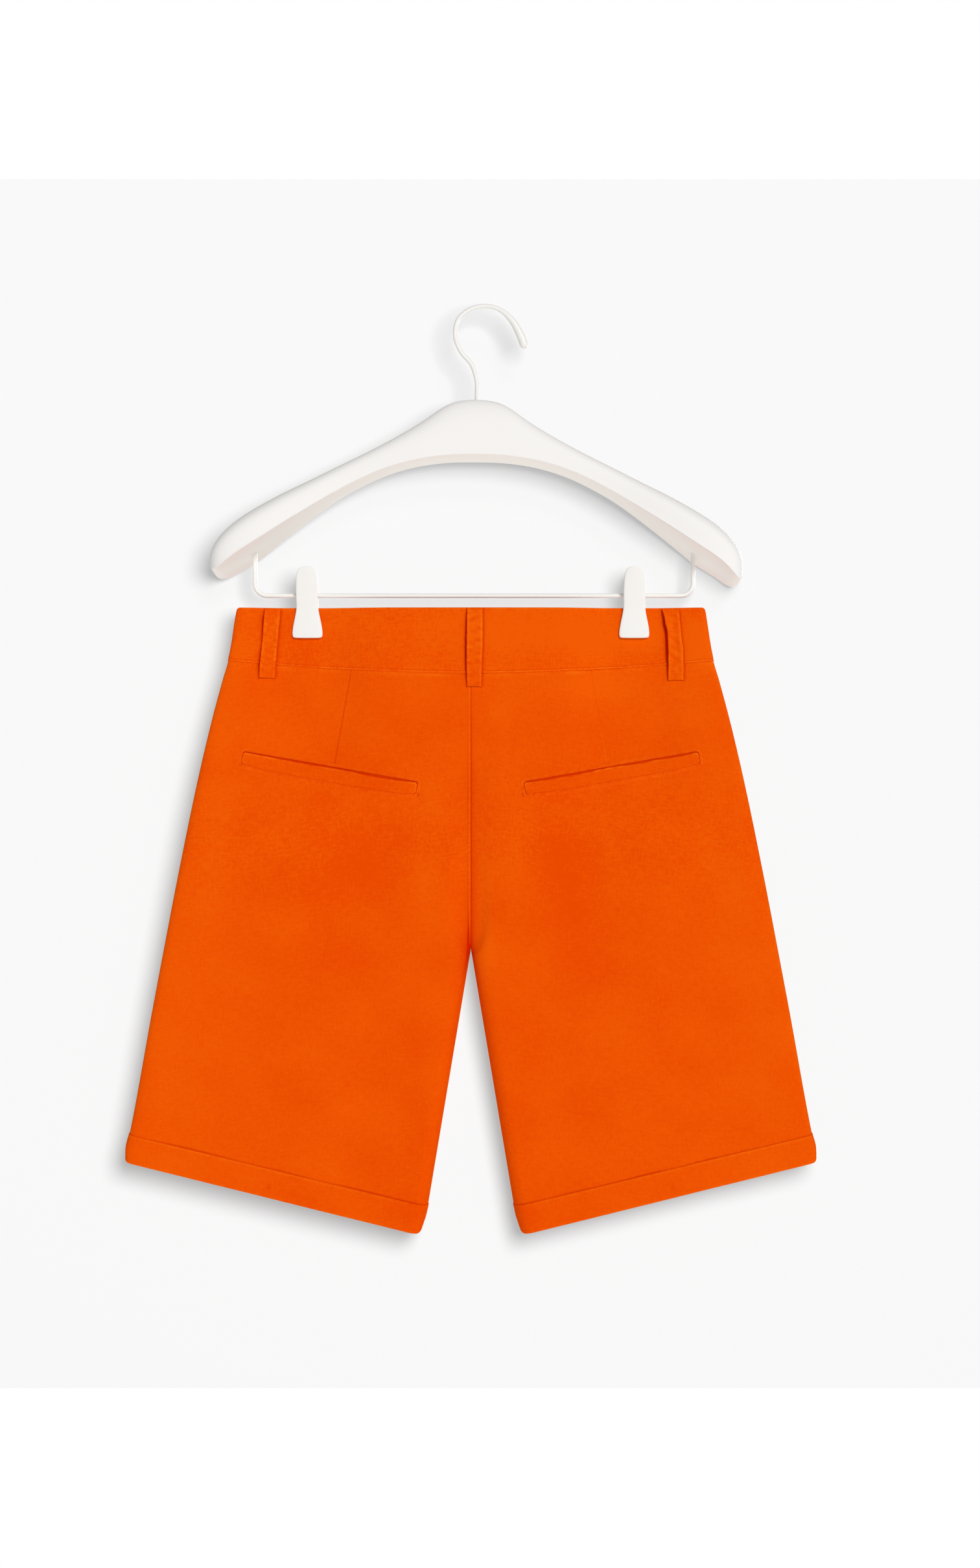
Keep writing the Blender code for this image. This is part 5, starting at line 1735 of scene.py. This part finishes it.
def tack_lines():
    """The bar tacks at the pockets' ends: four short stitches side by side in each."""
    lines = []
    ends = np.array([-0.5, 0.5]) * TACK_WIDTH
    for side in (LEFT, RIGHT):
        cos, sin = math.cos(TACK_TURN), math.sin(side * TACK_TURN)
        for x, z in TACKS:
            for step in np.linspace(-0.5, 0.5, 4) * TACK_HEIGHT:
                xs, zs = side * x + ends * cos - step * sin, z + ends * sin + step * cos
                lines.append(cloth_line(BACK, xs, zs, TACK_LIFT))
    return lines


# ---- the button and the zip ----


def turned_button():
    """A button that lies flat, with a rim, a dish and four holes."""
    deselect()
    bpy.ops.mesh.primitive_cylinder_add(vertices=48, radius=BUTTON_RADIUS * MM, depth=BUTTON_DEPTH * MM)
    button = new_piece("button")
    select_facing(button, 1)
    bpy.ops.mesh.inset(thickness=BUTTON_RIM * MM)
    for inwards, deep in ((BUTTON_WALL, BUTTON_WALL), BUTTON_DISH):
        bpy.ops.mesh.inset(thickness=inwards * MM)
        bpy.ops.transform.translate(value=(0, 0, -deep * MM))
    bpy.ops.object.mode_set(mode="OBJECT")
    for turn in np.radians([45, 135, 225, 315]):
        drill_hole(button, HOLES_OFF * math.cos(turn), HOLES_OFF * math.sin(turn))
    round_edges(button, 0.55, 3, angle=40)
    return button


def drill_hole(button, x, y):
    deselect()
    bpy.ops.mesh.primitive_cylinder_add(
        vertices=16, radius=HOLE_RADIUS * MM, depth=2.5 * BUTTON_DEPTH * MM, location=(x * MM, y * MM, 0),
    )
    drill = bpy.context.object
    hole = button.modifiers.new("hole", "BOOLEAN")
    hole.operation, hole.object = "DIFFERENCE", drill
    apply_all(button)
    bpy.data.objects.remove(drill)


def button_threads(place):
    """The thread through the holes: two stitches side by side over each pair."""
    lines = []
    for row in BUTTON_ROWS:
        ends = (-BUTTON_STITCH / 2, BUTTON_STITCH / 2)
        line = np.array([place + [end, BUTTON_STITCH_OUT, row] for end in ends])
        lines.append((line, np.full_like(line, [0, 1, 0])))
    return lines


def zip_tape(rows):
    """The tape behind the front panels. It returns how far off the middle plane its front is."""
    half = ZIP_WIDTH / 2
    x = np.linspace(-half, half, 19)[None]
    z = rows[:, None] + 0 * x
    cloth = np.minimum(depth_over(0, z[:, :1]), depth_over(half, z[:, :1]))
    front = cloth - CLOTH - SEAM_GAP
    thickness = TAPE_WALL + rise_of(TAPE_CORDS, np.abs(x))
    points = np.concatenate([in_frame(x, front - off, z).reshape(-1, 3) for off in (0.0, thickness)])
    tape = mesh_piece(
        "zip_tape", points, wall_faces(*z.shape), finish("Zip tape", linen, 0.7, 0.3),
        woven=weave_place(points), fold=np.zeros(len(points)),
    )
    dress(tape, ["fly_zip_tape"])
    return front[:, 0]


def one_tooth():
    deselect()
    bpy.ops.mesh.primitive_cube_add(size=1.0, scale=tuple(part * MM for part in TOOTH))
    settle()
    tooth = bpy.context.object
    round_edges(tooth, 0.2, 1)
    points, faces = as_model(tooth)
    return points / MM, faces


def zip_teeth(rows, front):
    """The teeth behind the tape, from its left half and its right half in turn."""
    model, faces = one_tooth()
    pitch = setting("shorts_fittings", "tooth_pitch") / MM
    placed = []
    for i in range(int((rows[0] - rows[-1] - ZIP_ENDS) / (pitch / 2))):
        level = rows[0] - ZIP_ENDS / 2 - i * pitch / 2
        behind = np.interp(level, rows[::-1], (GARMENT_Y + front)[::-1]) - TEETH_BEHIND
        placed.append(model + [GARMENT_X + (TOOTH_OFF if i % 2 else -TOOTH_OFF), behind, level])
    dress(copies("zip_teeth", placed, faces, zip_metal(), sharp=30), [])


def zip_slider():
    """The slider, narrower at its foot."""
    low, high = (np.array(corner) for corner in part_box("fly_zip_slider"))
    deselect()
    bpy.ops.mesh.primitive_cube_add(
        size=1.0, location=tuple((high + low) / 2), scale=tuple((high - low) * [1, 0.8, 1]),
    )
    slider = new_piece("zip_slider")
    settle()
    select_facing(slider, -1)
    bpy.ops.transform.resize(value=(0.7, 1, 1))
    bpy.ops.object.mode_set(mode="OBJECT")
    round_edges(slider, 0.7, 3)
    shade(slider, 35, zip_metal())
    dress(slider, ["fly_zip_slider"])


# ---- the hanger's pieces ----


def arm_middle(reach):
    """How far the hanger's body has curved towards the front, at a distance from its middle."""
    return ARM_SWEEP * (reach / SWEEP_REACH) ** 2


def arm_ring(along):
    """The outline of the hanger's body at a signed distance from its middle."""
    arm = next(row for row in (ARM if along < 0 else RIGHT_ARM) if row.reach == abs(along))
    near = arm_middle(arm.reach) - arm.thickness / 2
    ring = []
    for corner in ARM_SECTION:
        under = arm.front_edge + (arm.back_edge - arm.front_edge) * corner.across
        z = under + (arm.top - under) * corner.up - HANGER_LEAN * along
        ring.append((HANGER_X + along, near + arm.thickness * corner.across, z))
    return ring


def hook_line():
    """(points, radii) along the hook, with its tip rounded off."""
    line = smooth_through([(p.x, 0.0, p.z, p.radius) for p in HOOK], 8)
    points, radii = list(line[:, :3]), list(line[:, 3])
    end, last = points[-1], radii[-1]
    onward = (end - points[-2]) / np.linalg.norm(end - points[-2])
    for along, share in TIP_ROUND:
        points.append(end + onward * last * along)
        radii.append(last * share)
    return points, radii


def leg_top(x):
    """The height at which a leg of the bar ends, inside the arm above it."""
    reach = abs(x - HANGER_X)
    front, back, thickness = (
        float(straight(ARM, name, reach)) for name in ("front_edge", "back_edge", "thickness")
    )
    share = (GARMENT_Y - arm_middle(reach)) / thickness + 0.5
    return front + (back - front) * share - HANGER_LEAN * (x - HANGER_X) + BAR_IN_HANGER


def bar_line():
    """Places along the bar: down its left leg, round two bends and up its right leg."""
    bend = [(1 - math.cos(turn), 1 - math.sin(turn)) for turn in np.radians(np.linspace(0, 90, 15))]
    return [
        (BAR_LEFT, GARMENT_Y, leg_top(BAR_LEFT)),
        *((BAR_LEFT + BAR_BEND * a, GARMENT_Y, BAR_HEIGHT + BAR_BEND * b) for a, b in bend),
        *((BAR_RIGHT - BAR_BEND * b, GARMENT_Y, BAR_HEIGHT + BAR_BEND * a) for a, b in bend),
        (BAR_RIGHT, GARMENT_Y, leg_top(BAR_RIGHT)),
    ]


def jaw_ring(row, centre, face, half):
    """A jaw's outline at one height: flat inside, rounded outside, with its corners held."""
    inner, outer = row.inner_depth, row.inner_depth + row.thickness
    right = [(0.93, inner), (1, inner + 0.3), (1, outer - 1.0), (0.94, outer - 0.25), (0.7, outer)]
    left = [(-share, depth) for share, depth in right[::-1]]
    corners = [left[-1], (0, inner), *right, (0, outer + 0.2), *left[:-1]]
    return [(centre + half * share, GARMENT_Y + face * depth, row.height) for share, depth in corners]


# ---- the stage's pieces ----


def camera_place(across=0.0, up=0.0):
    distance = setting("shorts_studio", "distance")
    return (CAMERA_X + across, GARMENT_Y * MM - distance, CAMERA_Z + up)


def glowing_wall(nodes, shader, paint, glow):
    """Glowing pale paint that only the camera meets, and only on the side that faces the shorts."""
    here = nodes.add("ShaderNodeNewGeometry").outputs
    ends = {0: camera_place(*WALL_LIGHT_OFF), 1: here["Position"]}
    toward = nodes.add("ShaderNodeVectorMath", ends, operation="SUBTRACT").outputs[0]
    nodes.feed(shader, {
        "Base Color": (paint, paint, paint, 1.0),
        "Roughness": 1.0,
        "Specular IOR Level": 0.0,
        "Emission Color": (1.0, 1.0, 1.0, 1.0),
        "Emission Strength": glow,
        "Normal": nodes.add("ShaderNodeVectorMath", {0: toward}, operation="NORMALIZE").outputs[0],
    })
    seen = nodes.add("ShaderNodeLightPath").outputs["Is Camera Ray"]
    share = nodes.math("MULTIPLY", seen, nodes.math("SUBTRACT", 1.0, here["Backfacing"]))
    clear = nodes.add("ShaderNodeBsdfTransparent").outputs[0]
    blend = nodes.add("ShaderNodeMixShader", {0: share, 1: clear, 2: shader.outputs[0]}).outputs[0]
    nodes.feed(nodes.tree.nodes["Material Output"], {"Surface": blend})


def put_up_wall(studio):
    low, high = WALL_HEIGHTS
    deselect()
    bpy.ops.mesh.primitive_plane_add(
        size=1.0, location=(0, studio.wall_gap, (low + high) / 2), rotation=(math.pi / 2, 0, 0),
        scale=(WALL_WIDTH, high - low, 1),
    )
    wall = bpy.context.object
    wall.name = "studio_wall"
    settle()
    wall.data.materials.append(finish("Studio wall", glowing_wall, studio.wall_paint, studio.wall_glow))
    return wall


def light_sky(scene, low, high):
    """A sky that the camera sees white, and that gives `low` from below and `high` from above."""
    scene.world = bpy.data.worlds.new("Studio light")
    scene.world.use_nodes = True
    nodes = Nodes(scene.world.node_tree)
    seen = nodes.add("ShaderNodeLightPath").outputs["Is Camera Ray"]
    toward = nodes.add("ShaderNodeTexCoord").outputs["Generated"]
    up = nodes.add("ShaderNodeSeparateXYZ", {0: toward}).outputs[2]
    level = nodes.math("MULTIPLY_ADD", up, (high - low) / 2, (high + low) / 2)
    sky = nodes.add("ShaderNodeCombineXYZ", {0: level, 1: level, 2: level}).outputs[0]
    tone = nodes.blend(seen, sky, (1.0, 1.0, 1.0, 1.0))
    nodes.feed(nodes.tree.nodes["Background"], {"Color": tone})


def hang_sun(name, studio, rise, turn):
    """A wide far light that gives upright cloth the same light whatever its rise."""
    bpy.ops.object.light_add(type="SUN", location=(0, 0, 1))
    light = bpy.context.object
    light.name = name
    light.data.energy = studio.sun * math.cos(studio.rise) / math.cos(rise)
    light.data.angle = studio.softness
    light.rotation_euler = (math.pi / 2 - rise, 0, turn)


def hang_wall_light(strength, wall):
    """A wide lamp beside the camera, which lights only the wall and loses no strength on the way."""
    bpy.ops.object.light_add(type="POINT", location=camera_place(*WALL_LIGHT_OFF))
    lamp = bpy.context.object
    lamp.name = "wall_light"
    lamp.data.energy = strength
    lamp.data.shadow_soft_size = WALL_LIGHT_RADIUS
    lamp.data.use_nodes = True
    nodes = Nodes(lamp.data.node_tree)
    even = nodes.add("ShaderNodeLightFalloff", {"Strength": 1.0}).outputs["Constant"]
    nodes.feed(nodes.tree.nodes["Emission"], {"Strength": even})
    only_wall = bpy.data.collections.new("Lit by the wall light")
    only_wall.objects.link(wall)
    lamp.light_linking.receiver_collection = only_wall


def place_camera(scene):
    bpy.ops.object.camera_add(location=camera_place(), rotation=(math.pi / 2, 0, 0))
    camera = bpy.context.object
    camera.name = "camera"
    camera.data.sensor_width = 36.0
    camera.data.lens = LENS
    camera.data.clip_start, camera.data.clip_end = 0.01, 50.0
    scene.camera = camera


# ---- the operators: one for each group of pieces ----


class SewPanels(bpy.types.Operator):
    """Sew the four leg panels, with their creases, dart and centre seam"""

    bl_idname = "shorts.sew_panels"
    bl_label = "Sew the panels"

    def execute(self, context):
        for face_name, face in FACES:
            for side_name, side in SIDES:
                sew_panel(side_name, side, face_name, face)
        return {"FINISHED"}


class SewWaistband(bpy.types.Operator):
    """Sew the waistband's back and its two front pieces"""

    bl_idname = "shorts.sew_waistband"
    bl_label = "Sew the waistband"

    def execute(self, context):
        left, right = waist_spots(BACK, LEFT), waist_spots(BACK, RIGHT)
        halves = [(LEFT, left[::-1]), (RIGHT, right)]
        band_piece("band_back", "waistband_back", halves, BACK)
        left, right = waist_spots(FRONT, LEFT), waist_spots(FRONT, RIGHT)
        past, start = spots_across(0.5, [BAND_OVERLAP, BAND_OVERLAP + SEAM_GAP])
        over = np.concatenate([[past], left[left < past - 0.01][::-1]])
        rest = np.concatenate([[start], left[left > start + 0.01]])
        halves = [(LEFT, over), (RIGHT, right)]
        band_piece("band_front_right", "waistband_front_right", halves, FRONT)
        band_piece("band_front_left", "waistband_front_left", [(LEFT, rest)], FRONT)
        return {"FINISHED"}


class TurnUpCuffs(bpy.types.Operator):
    """Turn up the four halves of the cuffs"""

    bl_idname = "shorts.turn_up_cuffs"
    bl_label = "Turn up the cuffs"

    def execute(self, context):
        for face_name, face in FACES:
            for side_name, side in SIDES:
                sew_cuff(side_name, side, face_name, face)
        return {"FINISHED"}


class SewCarriers(bpy.types.Operator):
    """Sew on the five belt loops"""

    bl_idname = "shorts.sew_carriers"
    bl_label = "Sew on the belt loops"

    def execute(self, context):
        for name, (face, rows) in LOOPS.items():
            sew_loop(name, face, rows)
        return {"FINISHED"}


class SetWelts(bpy.types.Operator):
    """Set the two welts of the back pockets into their stitched windows"""

    bl_idname = "shorts.set_welts"
    bl_label = "Set the pocket welts"

    def execute(self, context):
        for side_name, side in SIDES:
            sew_welt(side_name, side)
        return {"FINISHED"}


class SewFly(bpy.types.Operator):
    """Sew the fly's placket"""

    bl_idname = "shorts.sew_fly"
    bl_label = "Sew the fly"

    def execute(self, context):
        sew_placket()
        return {"FINISHED"}


class Topstitch(bpy.types.Operator):
    """Run the rows of stitches along the waistband, round the pockets and down the fly"""

    bl_idname = "shorts.topstitch"
    bl_label = "Topstitch"

    def execute(self, context):
        sewing = context.scene.shorts_sewing
        waist_pitch, pocket_pitch = sewing.waist_pitch / MM, sewing.pocket_pitch / MM
        pale = finish("Pale thread", thread, sewing.pale_thread)
        for face_name, face in FACES:
            lower = full_band_line(face, STITCH_LINE)
            upper = full_band_line(face, BAND_TALL - TOP_STITCH_LINE)
            stitch_row(f"stitches_waist_seam_{face_name}", [lower], waist_pitch, 0.58)
            stitch_row(f"stitches_waist_edge_{face_name}", [upper], waist_pitch * 0.95, 0.6, pale)
        for side_name, side in SIDES:
            stitch_row(f"stitches_pocket_{side_name}", welt_lines(side), pocket_pitch, 0.66, pale)
        stitch_row("stitches_fly", fly_lines(), waist_pitch, 0.72)
        stitch_row("tacks_pocket", tack_lines(), TACK_WIDTH, 1.0, pale)
        return {"FINISHED"}


class FitButton(bpy.types.Operator):
    """Sew on the waist button"""

    bl_idname = "shorts.fit_button"
    bl_label = "Fit the button"

    def execute(self, context):
        x, z = BUTTON_AT
        seat = float(depth_over(x, z)) + SEAM_GAP
        place = np.array([GARMENT_X + x, GARMENT_Y + seat, z])
        button = turned_button()
        button.rotation_euler = (-math.pi / 2, 0, 0)
        button.location = (place + [0, BUTTON_DEPTH / 2, 0]) * MM
        only(button)
        settle()
        tone = setting("shorts_fittings", "button")
        shade(button, 35, finish("Polished button", coat, tone, 0.28, 0.5, 0.9, 0.00001))
        dress(button, ["waist_button"])
        stitch_row("stitches_button", button_threads(place), BUTTON_STITCH, 1.0)
        return {"FINISHED"}


class FitZip(bpy.types.Operator):
    """Fit the zip: its tape, its teeth and its slider"""

    bl_idname = "shorts.fit_zip"
    bl_label = "Fit the zip"

    def execute(self, context):
        low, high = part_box("fly_zip_tape")
        rows = np.linspace(high[2], low[2], 60) / MM
        zip_teeth(rows, zip_tape(rows))
        zip_slider()
        return {"FINISHED"}


class PaintHanger(bpy.types.Operator):
    """Draw out the hanger's body and lacquer it"""

    bl_idname = "shorts.paint_hanger"
    bl_label = "Make the hanger's body"

    def execute(self, context):
        hanger = context.scene.shorts_hanger
        reaches = [arm.reach for arm in ARM]
        rings = [arm_ring(along) for along in sorted({*reaches, *(-reach for reach in reaches)})]
        paint = finish("Hanger lacquer", lacquer, hanger.lacquer, hanger.underside)
        dress(extruded("hanger_arms", rings, paint), ["hanger_body"])
        return {"FINISHED"}


class BendWires(bpy.types.Operator):
    """Bend the hook and the bar from coated wire"""

    bl_idname = "shorts.bend_wires"
    bl_label = "Bend the wires"

    def execute(self, context):
        coated = finish("Coated wire", coat, setting("shorts_hanger", "wire"), 0.4, 0.35)
        dress(wire("hook", *hook_line(), coated), ["hanger_hook"])
        line = bar_line()
        dress(wire("bar", line, [BAR_RADIUS] * len(line), coated), ["hanger_bar"])
        return {"FINISHED"}


class MouldClips(bpy.types.Operator):
    """Mould the jaws of the two clips and paint their sleeves"""

    bl_idname = "shorts.mould_clips"
    bl_label = "Mould the clips"

    def execute(self, context):
        plastic = finish("Clip plastic", coat, setting("shorts_hanger", "clip"), 0.5, 0.3)
        for side_name, side in SIDES:
            for jaw, face in (("near", BACK), ("far", FRONT)):
                narrower, out = (FAR_JAW_NARROWER, FAR_JAW_OUT) if face == FRONT else (0, 0)
                centre = GARMENT_X + side * (CLIP_X + out)
                rings = [jaw_ring(row, centre, face, row.half_width - narrower) for row in CLIP]
                piece = extruded(f"jaw_{side_name}_{jaw}", rings, plastic)
                dress(piece, [f"clip_{side_name}_{jaw}_jaw"])
            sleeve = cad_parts[f"clip_{side_name}_sleeve"]
            sleeve.data.materials.clear()
            sleeve.data.materials.append(plastic)
        return {"FINISHED"}


class SetStage(bpy.types.Operator):
    """Put up the wall, the light and the camera"""

    bl_idname = "shorts.set_stage"
    bl_label = "Set the stage"

    def execute(self, context):
        scene = context.scene
        studio = scene.shorts_studio
        wall = put_up_wall(studio)
        light_sky(scene, studio.bounce, studio.sky)
        hang_sun("key_light", studio, studio.rise, studio.swing)
        hang_sun("back_light", studio, studio.rise / 3, math.pi - studio.swing)
        hang_wall_light(studio.wall_light, wall)
        place_camera(scene)
        scene.view_settings.view_transform = "Standard"
        scene.view_settings.look = "None"
        return {"FINISHED"}


class ShortsPanel(bpy.types.Panel):
    """Lists the steps that dress the shorts"""

    bl_idname = "VIEW3D_PT_shorts"
    bl_label = "Shorts"
    bl_space_type = "VIEW_3D"
    bl_region_type = "UI"
    bl_category = "Shorts"

    def draw(self, context):
        for group in SETTINGS:
            box = self.layout.box()
            values = getattr(context.scene, group)
            for name in values.__annotations__:
                box.prop(values, name)
        for step in STEPS:
            self.layout.operator(step.bl_idname)


STEPS = (
    SewPanels, SewWaistband, TurnUpCuffs, SewCarriers, SetWelts, SewFly, Topstitch, FitButton, FitZip,
    PaintHanger, BendWires, MouldClips, SetStage,
)


def register():
    for group, kind in SETTINGS.items():
        bpy.utils.register_class(kind)
        setattr(bpy.types.Scene, group, bpy.props.PointerProperty(type=kind))
    for kind in (*STEPS, ShortsPanel):
        bpy.utils.register_class(kind)


def unregister():
    for kind in (ShortsPanel, *STEPS[::-1]):
        bpy.utils.unregister_class(kind)
    for group, kind in SETTINGS.items():
        delattr(bpy.types.Scene, group)
        bpy.utils.unregister_class(kind)


def main():
    register()
    for step in STEPS:
        space, name = step.bl_idname.split(".")
        getattr(getattr(bpy.ops, space), name)()
    deselect()


if __name__ == "__main__":
    main()
